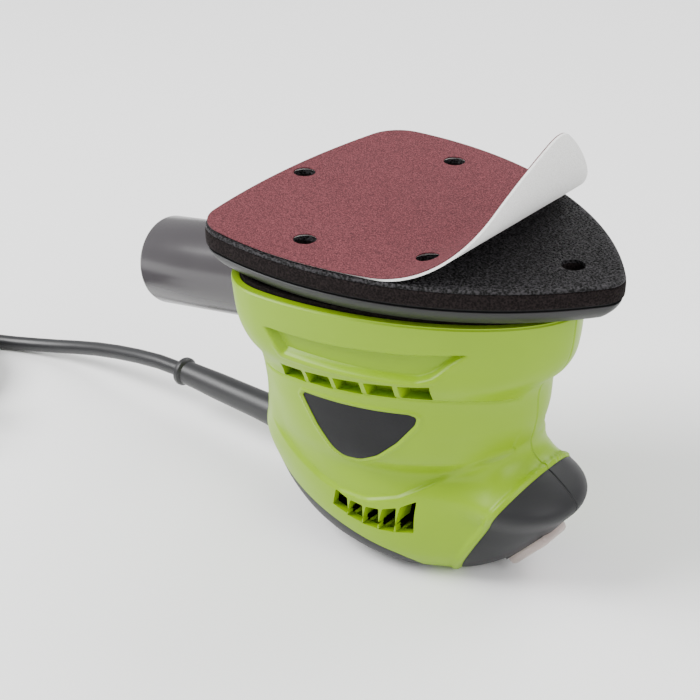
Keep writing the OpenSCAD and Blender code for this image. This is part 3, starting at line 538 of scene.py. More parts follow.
def copy_of(piece: bpy.types.Object, name: str) -> bpy.types.Object:
    """A separate copy of a piece.

    Args:
        piece: the piece to copy.
        name: name of the copy.

    Returns:
        The copy.
    """
    other = bpy.data.objects.new(name, piece.data.copy())
    bpy.context.scene.collection.objects.link(other)
    return other


def report(*pieces: bpy.types.Object) -> None:
    """Logs finished pieces with their size."""
    for piece in pieces:
        LOG.info("%s: %d faces", piece.name, len(piece.data.polygons))


def discard(*pieces: bpy.types.Object) -> None:
    """Removes helper solids."""
    for piece in pieces:
        bpy.data.objects.remove(piece, do_unlink=True)


def soft_step(x: np.ndarray | float, low: float, high: float) -> np.ndarray | float:
    """0 below low, 1 above high and a smooth ramp between.

    Args:
        x: a value or an array of them.
        low: where the ramp starts.
        high: where the ramp ends.

    Returns:
        Shares from 0 to 1.
    """
    t = np.clip((x - low) / (high - low), 0.0, 1.0)
    return t * t * (3 - 2 * t)


def line_distance(x: np.ndarray, z: np.ndarray, line: Outline) -> np.ndarray:
    """Distance of points from an open line in the side view.

    Args:
        x: first coordinates.
        z: second coordinates.
        line: points of the line.

    Returns:
        Distance of each point.
    """
    best = np.full(x.shape, 1e9)
    for (ax, az), (bx, bz) in zip(line[:-1], line[1:]):
        dx, dz = bx - ax, bz - az
        t = np.clip(((x - ax) * dx + (z - az) * dz) / (dx * dx + dz * dz), 0, 1)
        best = np.minimum(best, np.hypot(x - ax - t * dx, z - az - t * dz))
    return best


def outline_distance(x: np.ndarray, z: np.ndarray, outline: Outline) -> np.ndarray:
    """Signed distance from a closed outline, negative inside it.

    Args:
        x: first coordinates.
        z: second coordinates.
        outline: corners of the outline.

    Returns:
        Distance of each point.
    """
    inside = np.zeros(x.shape, bool)
    loop = list(outline) + [outline[0]]
    for (ax, az), (bx, bz) in zip(loop[:-1], loop[1:]):
        crosses = (az > z) != (bz > z)
        with np.errstate(divide="ignore", invalid="ignore"):
            inside ^= crosses & (x < (bx - ax) * (z - az) / (bz - az) + ax)
    distance = line_distance(x, z, loop)
    return np.where(inside, -distance, distance)


def rounded(outline: Outline, radius: float, steps: int = 5) -> list[Point]:
    """An outline with its corners rounded by short curves.

    Args:
        outline: corners in order.
        radius: how much of each side a corner takes.
        steps: points along each corner.

    Returns:
        The new outline.
    """
    out: list[Point] = []
    n = len(outline)
    for i in range(n):
        p, q, r = (np.array(outline[(i + k) % n], float) for k in (-1, 0, 1))
        a, b = p - q, r - q
        cut = min(radius, 0.45 * np.linalg.norm(a), 0.45 * np.linalg.norm(b))
        start, end = q + a / np.linalg.norm(a) * cut, q + b / np.linalg.norm(b) * cut
        for k in range(steps + 1):
            t = k / steps
            out.append(tuple((1 - t) ** 2 * start + 2 * t * (1 - t) * q + t * t * end))
    return out


# ------------------------------------------------------------------ camera, light and floor
@dataclass
class Studio:
    """Camera, floor and soft lights."""

    eye: tuple[float, float, float] = (314.1, -418.6, 368.9)
    azimuth: float = 39.17
    elevation: float = 29.63
    lens: float = 85.78

    def camera(self) -> None:
        """Places the scene's camera."""
        data = bpy.data.cameras.new("camera")
        data.lens = self.lens
        data.sensor_width = 36.0
        data.clip_start = 0.01
        view = bpy.data.objects.new("camera", data)
        view.location = Vector(self.eye) * MM
        view.rotation_euler = (math.radians(90 - self.elevation), 0, math.radians(self.azimuth))
        bpy.context.scene.collection.objects.link(view)
        bpy.context.scene.camera = view

    def floor(self) -> None:
        """Lays the pale floor."""
        bm = bmesh.new()
        bmesh.ops.create_grid(bm, x_segments=1, y_segments=1, size=6.0)
        ground = piece_from("floor", bm)
        pale = bpy.data.materials.new("pale floor")
        pale.use_nodes = True
        shader = pale.node_tree.nodes["Principled BSDF"]
        shader.inputs["Base Color"].default_value = (0.93, 0.93, 0.93, 1)
        shader.inputs["Roughness"].default_value = 0.9
        shader.inputs["Specular IOR Level"].default_value = 0.1
        ground.data.materials.append(pale)

    def lights(self) -> None:
        """Hangs the soft lights and sets the pale surround."""
        self._panel("key", (-0.75, -0.7, 1.0), 0.7, 34.0)
        self._panel("side", (1.1, -0.15, 0.75), 0.7, 9.0)
        self._panel("back", (0.1, 0.9, 1.0), 1.0, 12.0)
        world = bpy.data.worlds.new("surround")
        world.use_nodes = True
        world.node_tree.nodes["Background"].inputs["Color"].default_value = (1, 1, 1, 1)
        world.node_tree.nodes["Background"].inputs["Strength"].default_value = 0.75
        bpy.context.scene.world = world

    def _panel(self, name: str, place: tuple[float, float, float], size: float, power: float) -> None:
        """Adds one square area light that faces the tool.

        Args:
            name: name of the light.
            place: its position in metres.
            size: length of its sides in metres.
            power: its strength in watts.
        """
        data = bpy.data.lights.new(name, "AREA")
        data.size = size
        data.energy = power
        lamp = bpy.data.objects.new(name, data)
        lamp.location = place
        lamp.rotation_euler = (Vector((0, 0, 0.07)) - Vector(place)).to_track_quat("-Z", "Y").to_euler()
        bpy.context.scene.collection.objects.link(lamp)


# ------------------------------------------------------------------ mains cord
@dataclass
class MainsCord:
    """Cord, its guard, coil and plug."""

    diameter: float = 6.2
    guard_root: float = 13.5
    guard_tip: float = 9.5
    guard_end_x: float = -116.5
    inner_x: float = -41.0
    wall_x: float = -56.5
    route: tuple[tuple[float, float, float], ...] = (
        (-116.5, 0, 20), (-130, 0, 19.2), (-142, 0, 17.4), (-155, 0, 14.8), (-168, 0, 11.6), (-180, -1, 8.6),
        (-191, -3, 6.1), (-202, -6, 4.3), (-212, -10, 3.4), (-221, -14, 3.1), (-230, -18.5, 3.1),
        (-239, -23, 3.1), (-248, -28.5, 3.1), (-256, -34.5, 3.1))
    coil: Point = (-232.0, -66.0)
    coil_mean: float = 34.0
    coil_start: float = 127.3
    last_angle: float = 3042.7
    points_a_turn: int = 24
    # Each step: where it starts and ends, in degrees, the change of radius and the change of layer
    steps: tuple[tuple[int, int, int, int], ...] = (
        (240, 360, -1, 0), (600, 720, -1, 0), (870, 990, 0, 1), (1200, 1320, 1, 0),
        (1560, 1680, 1, 0), (1810, 1930, 0, 1), (2160, 2280, -1, 0), (2520, 2640, -1, 0))
    lift: float = 9.95
    lift_between: Point = (2760, 3030)

    def _coil_place(self, turned_by: float) -> tuple[float, float]:
        """Radius and height of the winding after some degrees, layer on layer with staggered steps.

        Args:
            turned_by: degrees wound since the start.

        Returns:
            Radius and height in millimetres.
        """
        d, low = self.diameter, self.diameter / 2
        radius, height = self.coil_mean + d, low
        for start, end, out, up in self.steps:
            share = soft_step(turned_by, start, end)
            radius += out * d * share
            height += up * d * share
        return radius, height + self.lift * soft_step(turned_by, *self.lift_between)

    def _path(self) -> list[Vector]:
        """Centre line from the guard to the plug, in metres.

        Returns:
            Points along the centre line.
        """
        points = [Vector(p) * MM for p in self.route]
        count = int(self.last_angle / 360 * self.points_a_turn)
        for k in range(1, count + 1):
            turned_by = self.last_angle * k / count
            radius, height = self._coil_place(turned_by)
            a = math.radians(self.coil_start + turned_by)
            points.append(Vector((self.coil[0] + radius * math.cos(a), self.coil[1] + radius * math.sin(a),
                                  height)) * MM)
        return points

    def _plug_place(self) -> Matrix:
        """Frame of the plug: its own -X runs back along the cord.

        Returns:
            Where the plug goes.
        """
        radius, height = self._coil_place(self.last_angle)
        a = math.radians(self.coil_start + self.last_angle)
        end = Vector((self.coil[0] + radius * math.cos(a), self.coil[1] + radius * math.sin(a), height)) * MM
        return Matrix.Translation(end) @ Matrix.Rotation(a + math.pi / 2, 4, "Z")

    def _plug(self) -> bpy.types.Object:
        """Moulds the plug's body, from the cord's end to its face.

        Returns:
            The plug.
        """
        stations = [(0, 5, 5, 2), (2, 5.4, 5.2, 2), (8, 7.2, 5.6, 2.3), (14, 9.6, 6.0, 2.8),
                    (20, 12.4, 6.4, 3.4), (27, 15.6, 6.8, 4.5), (31, 17.4, 6.85, 5.5),
                    (34.6, 17.65, 6.85, 6), (35.6, 17.3, 6.5, 6), (36, 16.6, 5.9, 6)]
        turn = np.linspace(0, math.tau, 64, endpoint=False)
        rings = []
        for x, w, t, n in stations:
            c, s = np.cos(turn), np.sin(turn)
            rings.append(np.stack([np.full(64, float(x)), w * np.sign(c) * np.abs(c) ** (2 / n),
                                   t * np.sign(s) * np.abs(s) ** (2 / n)], 1))
        bm = loft(np.array(rings))
        bm.transform(self._plug_place())
        return piece_from("plug", bm)

    def _guard(self) -> bpy.types.Object:
        """Turns the bend guard with its collar and inner flange.

        Returns:
            The guard.
        """
        root, tip, bore = self.guard_root / 2, self.guard_tip / 2, self.diameter / 2 - 0.1
        end, wall, inner = -self.guard_end_x, -self.wall_x, -self.inner_x
        collar = tip + 1.2
        profile = [(bore, end), (tip + 0.3, end), (collar - 0.3, end - 0.2), (collar, end - 0.8),
                   (collar, end - 2.2), (collar - 0.5, end - 2.9), (tip + 0.15, end - 3.2),
                   (tip + 0.25, end - 8), (tip + 0.7, end - 20), (root - 0.9, wall + 16),
                   (root - 0.2, wall + 4), (root, wall), (root, inner + 2),
                   (root + 2.2, inner + 2), (root + 2.2, inner), (bore, inner)]
        place = placed(CORD_SPOT, -90)
        return piece_from("bend_guard", turned(profile, place, 64))

    def build(self) -> None:
        data = bpy.data.curves.new("mains_cord", "CURVE")
        data.dimensions = "3D"
        data.bevel_depth = self.diameter / 2 * MM
        data.bevel_resolution = 5
        data.use_fill_caps = True
        line = data.splines.new("POLY")
        points = self._path()
        line.points.add(len(points) - 1)
        for spot, p in zip(line.points, points):
            spot.co = (*p, 1.0)
        line.use_smooth = True
        cord = bpy.data.objects.new("mains_cord", data)
        bpy.context.scene.collection.objects.link(cord)
        guard, plug = finish(self._guard(), "cord_rubber"), finish(self._plug(), "cord_rubber", 50)
        finish(cord, "cord_rubber", None)
        for piece, node in ((guard, "cord_guard"), (plug, "plug_body")):
            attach(piece, "body")
            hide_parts(node)
        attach(cord, "body")
        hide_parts("cord", "cord_coil")
        report(guard, plug)


# ------------------------------------------------------------------ body
@dataclass
class BodyForm:
    """The body's outer form: smooth sections from the crown to the rim."""

    sections: tuple[tuple[float, ...], ...] = (
        (0, -5, 33, 15, 18, 2, 2, 38, 10), (2, -20, 40, 25, 16, 2, 2, 46, 15),
        (5, -31, 44, 31, 12, 2, 2, 50, 17), (10, -40, 48, 35.5, 7, 2, 2, 56, 20),
        (18, -48, 51, 38.5, 2, 2, 2, 63, 21), (27, -54, 52, 40, -2, 2, 2, 69.5, 21),
        (36, -55, 52, 41, -5, 1.8, 2.2, 74.5, 24), (44, -53, 52, 42, -7, 1.6, 2.2, 66, 18),
        (52, -51, 53.5, 44, -7, 2, 2.2, 50, 14),
        (64, -49, 56, 45.5, -8, 2, 2.3, 30, 12), (78, -49, 57, 47.5, -12, 2, 2.4, 20, 8),
        (86, -51, 64, 51.5, -18, 1.9, 2.4, 20, 8), (94, -52, 67.5, 53.5, -22, 1.75, 2.4, 20, 8),
        (110, -51, 69, 56, -24, 1.7, 2.4, 20, 8))
    height: float = 110.0
    blend: float = 500.0
    lean_limit: float = 2.4

    def at(self, z: float, k: int) -> float:
        """Column k of the sections at height z, on a smooth curve through the rows.

        Args:
            z: height in millimetres.
            k: number of the column.

        Returns:
            The value.
        """
        t = self.sections
        i = max([j for j in range(len(t) - 1) if t[j][0] <= z] or [0])
        h = t[i + 1][0] - t[i][0]
        u = (z - t[i][0]) / h

        def slope(a: int, b: int) -> float:
            """Slope of the column between two rows."""
            return (t[b][k] - t[a][k]) / (t[b][0] - t[a][0])

        m0, m1 = slope(max(i - 1, 0), i + 1), slope(i, min(i + 2, len(t) - 1))
        return ((2 * u**3 - 3 * u * u + 1) * t[i][k] + (u**3 - 2 * u * u + u) * h * m0
                + (3 * u * u - 2 * u**3) * t[i + 1][k] + (u**3 - u * u) * h * m1)

    def _half_sq(self, x: np.ndarray, s: Sequence[float]) -> np.ndarray:
        """Square of the half width at x, negative beyond the section's ends.

        Args:
            x: places along the body.
            s: values of the section.

        Returns:
            Squares in square millimetres.
        """
        front = x > s[4]
        u = np.where(front, (x - s[4]) / (s[2] - s[4]), (s[4] - x) / (s[4] - s[1]))
        n = np.where(front, s[5], s[6])
        g = 1 - np.abs(u) ** n
        main = np.where(g < 0, s[3] ** 2 * (1 - u * u), s[3] ** 2 * np.maximum(g, 0) ** (2 / n))
        nose = s[8] ** 2 - np.maximum(x - s[7] + s[8], 0) ** 2
        ramp = np.clip((x - s[4]) / 20, 0, 1)
        weld = np.maximum(self.blend - np.abs(main - nose), 0) ** 2 / (4 * self.blend) * ramp
        return np.where(front, np.maximum(main, nose) + weld, main)

    def lean(self, z: float) -> float:
        """How much further in plan an inset moves where the wall leans.

        Args:
            z: height in millimetres.

        Returns:
            A factor of 1 or more.
        """
        a, b = max(z - 1, 0), min(z + 1, self.height)
        w = self.at(b, 3) - self.at(a, 3)
        run = (self.at(b, 2) - self.at(b, 1) - self.at(a, 2) + self.at(a, 1)) / 2
        return min(self.lean_limit, math.hypot(1, (w + run) / 2 / (b - a)))

    def ring(self, z: float, inset: float, count: int) -> np.ndarray:
        """One section as a closed ring.

        Args:
            z: height in millimetres.
            inset: how far the ring is moved inwards.
            count: points along one side.

        Returns:
            Array of points.
        """
        s = [self.at(z, k) for k in range(9)]
        low, high = s[4], max(s[2], s[7]) + 12
        for _ in range(26):
            middle = (low + high) / 2
            if self._half_sq(np.array([middle]), s)[0] > 0:
                low = middle
            else:
                high = middle
        x = s[1] + (low - s[1]) * (1 - np.cos(np.linspace(0, math.pi, count))) / 2
        y = np.sqrt(np.maximum(self._half_sq(x, s), 0))
        y[0] = y[-1] = 0
        plan = np.concatenate([np.stack([x, -y], 1), np.stack([x, y], 1)[-2:0:-1]])
        along = np.roll(plan, -1, 0) - np.roll(plan, 1, 0)
        along /= np.linalg.norm(along, axis=1)[:, None]
        moved = plan + np.stack([-along[:, 1], along[:, 0]], 1) * inset * self.lean(z)
        moved[0, 1] = moved[count - 1, 1] = 0
        return np.concatenate([moved, np.full((len(moved), 1), z)], 1)

    def solid(self, name: str, inset: float, low: float, high: float, step: float,
              count: int) -> bpy.types.Object:
        """The body's form as a closed solid between two heights.

        Args:
            name: name of the solid.
            inset: how far it lies inside the outer form.
            low: lowest height.
            high: top, which may stand above the rim.
            step: distance between rings.
            count: points along one side of a ring.

        Returns:
            The new object.
        """
        top = min(high, self.height)
        close = [low + (top - low) * 0.02 * k for k in range(1, 5)]
        rest = np.linspace(low + (top - low) * 0.1, top, max(int((top - low) / step), 6))
        heights = [low, *close, *rest]
        rings = [self.ring(z, inset, count) for z in heights]
        if high > self.height:
            rings.append(rings[-1] + np.array([0, 0, high - self.height]))
        return piece_from(name, loft(np.array(rings)))


@dataclass
class Housing:
    """The two green shells with the soft grips and the blank plates."""

    form: BodyForm = field(default_factory=BodyForm)
    wall: float = 2.8
    grip: float = 1.5
    plate: float = 0.9
    gap: float = 0.1
    palm: Outline = ((-42, -5), (-42, 26), (-38, 27), (22, 10.5), (28, 7), (30, -5))
    nose_line: Outline = ((37.5, 0), (66, 53.8))
    badge: Outline = ((-10.5, 70.5), (-9.5, 72), (29, 73.5), (31.5, 72.5), (31, 69.5), (25, 61), (18, 54),
                      (11, 50), (5, 49.3), (1, 52), (-5, 60))
    scoop: Outline = ((-20.5, 97), (-14.5, 87.7), (10, 87.6), (33, 88), (37.5, 90), (47, 99.5), (30, 98),
                      (5, 97))
    shoulder: Outline = ((-34, 47), (-26, 43), (-17, 38.5), (-8, 34.5), (1, 32.2), (12, 32), (23, 35.5),
                         (34, 43), (47, 51.5), (54, 54))
    band: Outline = ((-30, 74), (-19, 75), (-6, 77), (6, 78), (17, 79), (27, 80), (39, 80),
                     (48, 79), (55, 77))
    backing: Outline = ((-30, 71.5), (-30, 101), (58, 102.5), (58, 74.5))
    bosses: Outline = ((-25, 12), (-42, 52), (46.5, 61), (58, 37), (57, 97))
    slot_x: float = -0.5
    slot_pitch: float = 6.1
    slot_rib: float = 1.3
    split_gap: float = 0.02
    pocket: float = 4.6
    scoop_depth: float = 3.0
    shoulder_step: float = 1.3
    groove: float = 0.5

    def _sculpt(self, skin: bpy.types.Object) -> None:
        """Moves the fine skin in and out for the scoop, creases, beads and the parting line.

        Args:
            skin: the fine outer skin.
        """
        mesh = skin.data
        n = len(mesh.vertices)
        co, normal = np.empty(n * 3), np.empty(n * 3)
        mesh.vertices.foreach_get("co", co)
        mesh.vertices.foreach_get("normal", normal)
        co, normal = co.reshape(-1, 3) * 1000, normal.reshape(-1, 3)
        x, y, z = co.T
        side = np.abs(normal[:, 1]) > 0.25
        move = np.zeros(n)
        scoop = outline_distance(x, z, self.scoop)
        move -= self.scoop_depth * soft_step(-scoop, -0.4, 1.6) * side
        move += 0.3 * soft_step(-np.abs(scoop - 1.2), -1.2, -0.1) * soft_step(-z, -92, -89) * side
        plate = outline_distance(x, z, self.badge)
        move += 0.5 * soft_step(-np.abs(plate - 1.0), -0.9, -0.1) * side
        # Raised bead along the nose grip, and the step of the shoulder over the lower slots
        (ax, az), (bx, bz) = self.nose_line
        run = math.hypot(bx - ax, bz - az)
        ahead = ((x - ax) * (bz - az) - (z - az) * (bx - ax)) / run
        nose_part = soft_step(-z, -56, -50)
        move += 0.75 * soft_step(-np.abs(ahead + 1.5), -1.5, -0.4) * nose_part
        above = np.interp(x, [p[0] for p in self.shoulder], [p[1] for p in self.shoulder])
        over = z - above
        fade = soft_step(x, -36, -24) * soft_step(-x, -56, -50)
        move -= self.shoulder_step * soft_step(over, -0.9, 0.9) * soft_step(-over, -26, -1) * fade * side
        crease = line_distance(x, z, self.band)
        move -= self.groove * soft_step(-crease, -0.9, -0.1) * side
        move -= 0.35 * soft_step(-np.abs(y), -0.45, -0.1)
        move -= 0.5 * soft_step(z, 108.6, 109.0)
        co += normal * move[:, None]
        co[:, 2] = np.maximum(co[:, 2], 0.0)
        mesh.vertices.foreach_set("co", (co * MM).reshape(-1))
        mesh.update()

    def _arch(self, x: float) -> float:
        """Upper edge of the lower slots."""
        return 29 + 0.02 * (x - 12) ** 2

    def _sill(self, x: float) -> float:
        """Lower edge of the lower slots."""
        return 20.5 + 0.012 * (x - 18) ** 2

    def _slots(self) -> bmesh.types.BMesh:
        """Cutters for the five slots above the palm grip.

        Returns:
            The cutters in one bmesh.
        """
        out = bmesh.new()
        for i in range(5):
            a = self.slot_x + i * self.slot_pitch
            b = a + self.slot_pitch - self.slot_rib
            corners = [(a - 2, self._sill(a)), (b, self._sill(b)), (b, self._arch(b)), (a, self._arch(a))]
            shape = rounded(corners, 0.5, 3)
            join(out, side_prism(shape, *THROUGH))
        return out

    def _pockets(self) -> bmesh.types.BMesh:
        """Cutters for the five openings in the band under the skirt.

        Returns:
            The cutters in one bmesh.
        """
        out = bmesh.new()
        for i in range(5):
            x, z, w = -18 + i * 11.3, 79 + 1.1 * i, 9.7
            shape = rounded([(x, z - 3.2), (x + w, z - 2.6), (x + w, z + 3.4), (x, z + 2.4)], 0.35, 3)
            join(out, side_prism(shape, *THROUGH))
        return out

    def _zone(self, name: str, outline: Outline) -> bpy.types.Object:
        """A side-view outline through the whole body."""
        return piece_from(name, side_prism(outline, *THROUGH))

    def _nose_outline(self, shift: float) -> list[Point]:
        """Outline of the nose grip's place, its edge moved by shift.

        Args:
            shift: how far the edge moves forward.

        Returns:
            The outline [x, z].
        """
        (ax, az), (bx, bz) = self.nose_line
        lean = (bx - ax) / (bz - az)
        return [(ax - 5 * lean + shift, az - 5), (ax + 50 * lean + shift, 50), (120, 50), (120, -5)]

    def _cavity(self) -> bpy.types.Object:
        """The space inside the shells, less the fins behind the slots and the screw bosses.

        Returns:
            The space as a solid.
        """
        room = self.form.solid("room", self.wall, self.wall, ABOVE_RIM, 1.6, 60)
        fins = bmesh.new()
        for i in range(1, 5):
            b = self.slot_x + i * self.slot_pitch
            a, b = b - self.slot_rib + 0.05, b - 0.05
            for near, far in ((-60, -27), (27, 60)):
                join(fins, side_prism([(a, 18), (b, 18), (b, 33), (a, 33)], near, far))
        pillars = bmesh.new()
        for x, z in self.bosses:
            join(pillars, rod(3.6, -70, 70, placed((x, 0, z), 90, "X")))
        fin, pillar = piece_from("fins", fins), piece_from("pillars", pillars)
        backing = self._zone("backing", self.backing)
        inner = self.form.solid("inner", 6.6, 6.6, ABOVE_RIM, 1.6, 60)
        carve(backing, inner)
        carve(room, fin, pillar, backing)
        discard(fin, pillar, backing, inner)
        return room

    def _half(self, skin: bpy.types.Object, name: str, side: int) -> bpy.types.Object:
        """Cuts a copy of a body-wide piece down to one half.

        Args:
            skin: the whole piece.
            name: name of the half.
            side: 1 for the left half and -1 for the right one.

        Returns:
            The half.
        """
        half = copy_of(skin, name)
        near, far = (self.split_gap, 200) if side > 0 else (-200, -self.split_gap)
        keep = piece_from("keep", block((-200, near, -50), (200, far, 200)))
        carve(half, within=keep)
        discard(keep)
        return half

    def build(self) -> None:
        """Makes the shells, grips and plates and puts them on the body."""
        skin = self.form.solid("skin", 0.0, 0.0, 110.0, 0.5, 230)
        self._sculpt(skin)
        under_grip = self.form.solid("under_grip", self.grip, self.grip, ABOVE_RIM, 0.8, 150)
        under_plate = self.form.solid("under_plate", self.plate, self.plate, ABOVE_RIM, 0.8, 150)
        under_pocket = self.form.solid("under_pocket", self.pocket, self.pocket, ABOVE_RIM, 1.6, 100)
        nose, palm = self._zone("nose", self._nose_outline(0)), self._zone("palm", rounded(self.palm, 2.5))
        plate = self._zone("plate", rounded(self.badge, 1.6))
        pockets = piece_from("pockets", self._pockets())
        slots = piece_from("slots", self._slots())
        room = self._cavity()
        place = placed(SWITCH_SPOT, SWITCH_TURN)
        switch = piece_from("switch_room", block((-10.7, -7.7, -2.5), (10.7, 7.7, 20), place))
        shaft = piece_from("switch_shaft", block((-9.65, -6.65, -30), (9.65, 6.65, 0), place))
        port = piece_from("port", rod(20.1, -30, 17, placed(OUTLET_MOUTH, 90 - OUTLET_RISE), 96))
        cord = piece_from("cord_room", rod(6.85, -90, -30, placed(CORD_SPOT, 90)))
        # Recesses: what lies outside the deeper form, within each outline
        for zone, deep in ((plate, under_plate), (pockets, under_pocket)):
            carve(zone, deep)
        grip_room = copy_of(nose, "nose_room")
        carve(grip_room, under_grip)
        palm_room = copy_of(palm, "palm_room")
        carve(palm_room, under_grip)
        shells = copy_of(skin, "shells")
        carve(shells, room, grip_room, palm_room, plate, pockets, slots, switch, shaft, port, cord)
        heads = bmesh.new()
        for x, z in self.bosses:
            join(heads, rod(2.9, 14, 90, placed((x, 0, z), -90, "X")))
        head = piece_from("heads", heads)
        for side, name in ((1, "left"), (-1, "right")):
            half = self._half(shells, f"shell_{name}", side)
            if side > 0:
                carve(half, head)
            self._place(half, "green_shell", f"housing_{name}")
        self._grips(skin, under_grip, switch)
        self._plates(under_plate)
        discard(skin, under_grip, under_plate, under_pocket, nose, palm, plate, pockets, slots, room,
                switch, shaft, port, cord, grip_room, palm_room, shells, head)

    def _grips(self, skin: bpy.types.Object, deep: bpy.types.Object, switch: bpy.types.Object) -> None:
        """Makes the nose grips and the palm grip from the skin.

        Args:
            skin: the sculpted skin.
            deep: the body less the grips' thickness.
            switch: room for the switch.
        """
        nose = self._zone("nose_in", self._nose_outline(self.gap))
        whole = copy_of(skin, "nose_all")
        carve(whole, deep, switch, within=nose)
        for side, name in ((1, "left"), (-1, "right")):
            self._place(self._half(whole, f"nose_{name}", side), "soft_grip", f"nose_grip_{name}")
        inner = [(x + (0.1 if x < 0 else -0.1), z - 0.1) for x, z in rounded(self.palm, 2.5)]
        palm = self._zone("palm_in", inner)
        guard = piece_from("guard_room", rod(9.1, 35, 43.3, placed(CORD_SPOT, -90)))
        strip = carve(copy_of(skin, "palm"), deep, guard, within=palm)
        self._place(strip, "soft_grip", "palm_grip")
        discard(nose, whole, palm, guard)

    def _plates(self, deep: bpy.types.Object) -> None:
        """Makes the two blank name plates, a little below the skin.

        Args:
            deep: the body less the plates' thickness.
        """
        face = self.form.solid("face", 0.2, 1.0, 109.0, 0.8, 150)
        cx, cz = 9.0, 64.0
        inner = [(cx + (x - cx) * 0.992, cz + (z - cz) * 0.985) for x, z in rounded(self.badge, 1.6)]
        zone = self._zone("plate_in", inner)
        whole = carve(face, deep, within=zone)
        for side, name in ((1, "left"), (-1, "right")):
            self._place(self._half(whole, f"plate_{name}", side), "badge_plate", f"badge_{name}")
        discard(face, zone)

    def _place(self, piece: bpy.types.Object, slot: str, node: str) -> None:
        """Dresses a piece and lets it stand for its CAD node on the body.

        Args:
            piece: the finished shape.
            slot: its finish.
            node: the CAD node that it stands for.
        """
        piece.name = f"look_{node}"
        finish(piece, slot)
        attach(piece, "body")
        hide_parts(node)
        report(piece)


@dataclass
class DustTube:
    """The plain outlet tube at the rear."""

    outer: float = 17.5
    wall: float = 2.0
    out: float = 70.0
    inside: float = 13.0

    def build(self) -> None:
        """Turns the tube with a rounded lip and puts it on the outlet body."""
        r, bore, end = self.outer, self.outer - self.wall, self.out
        profile = [(bore, -self.inside), (r - 0.5, -self.inside), (r, -self.inside + 0.6), (r, 0), (r, 20),
                   (r, 45), (r, end - 1.6), (r - 0.2, end - 0.7), (r - 0.7, end - 0.1), (r - 1.0, end),
                   (bore + 0.4, end), (bore, end - 0.6), (bore, 30), (bore, 0)]
        place = placed(OUTLET_MOUTH, -OUTLET_RISE) @ Matrix.Rotation(-math.pi / 2, 4, "Y")
        tube = finish(piece_from("outlet_tube", turned(profile, place, 128)), "tube_plastic")
        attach(tube, "outlet")
        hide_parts("dust_tube")
        report(tube)


@dataclass
class Switch:
    """The clear boot over the rocker."""

    length: float = 21.2
    width: float = 15.2
    skin: float = 1.2

    def build(self) -> None:
        """Makes the boot as a soft hollow cap."""
        place = placed(SWITCH_SPOT, SWITCH_TURN)
        l, w = self.length / 2, self.width / 2
        cap = piece_from("switch_cap", block((-l, -w, -2.5), (l, w, 2.3), place, 2.1))
        low, high = (-l + self.skin, -w + self.skin, -3.5), (l - self.skin, w - self.skin, 1.6)
        hollow = piece_from("cap_room", block(low, high, place, 0.6))
        carve(cap, hollow)
        discard(hollow)
        finish(cap, "clear_boot")
        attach(cap, "body")
        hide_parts("switch_boot")
        report(cap)


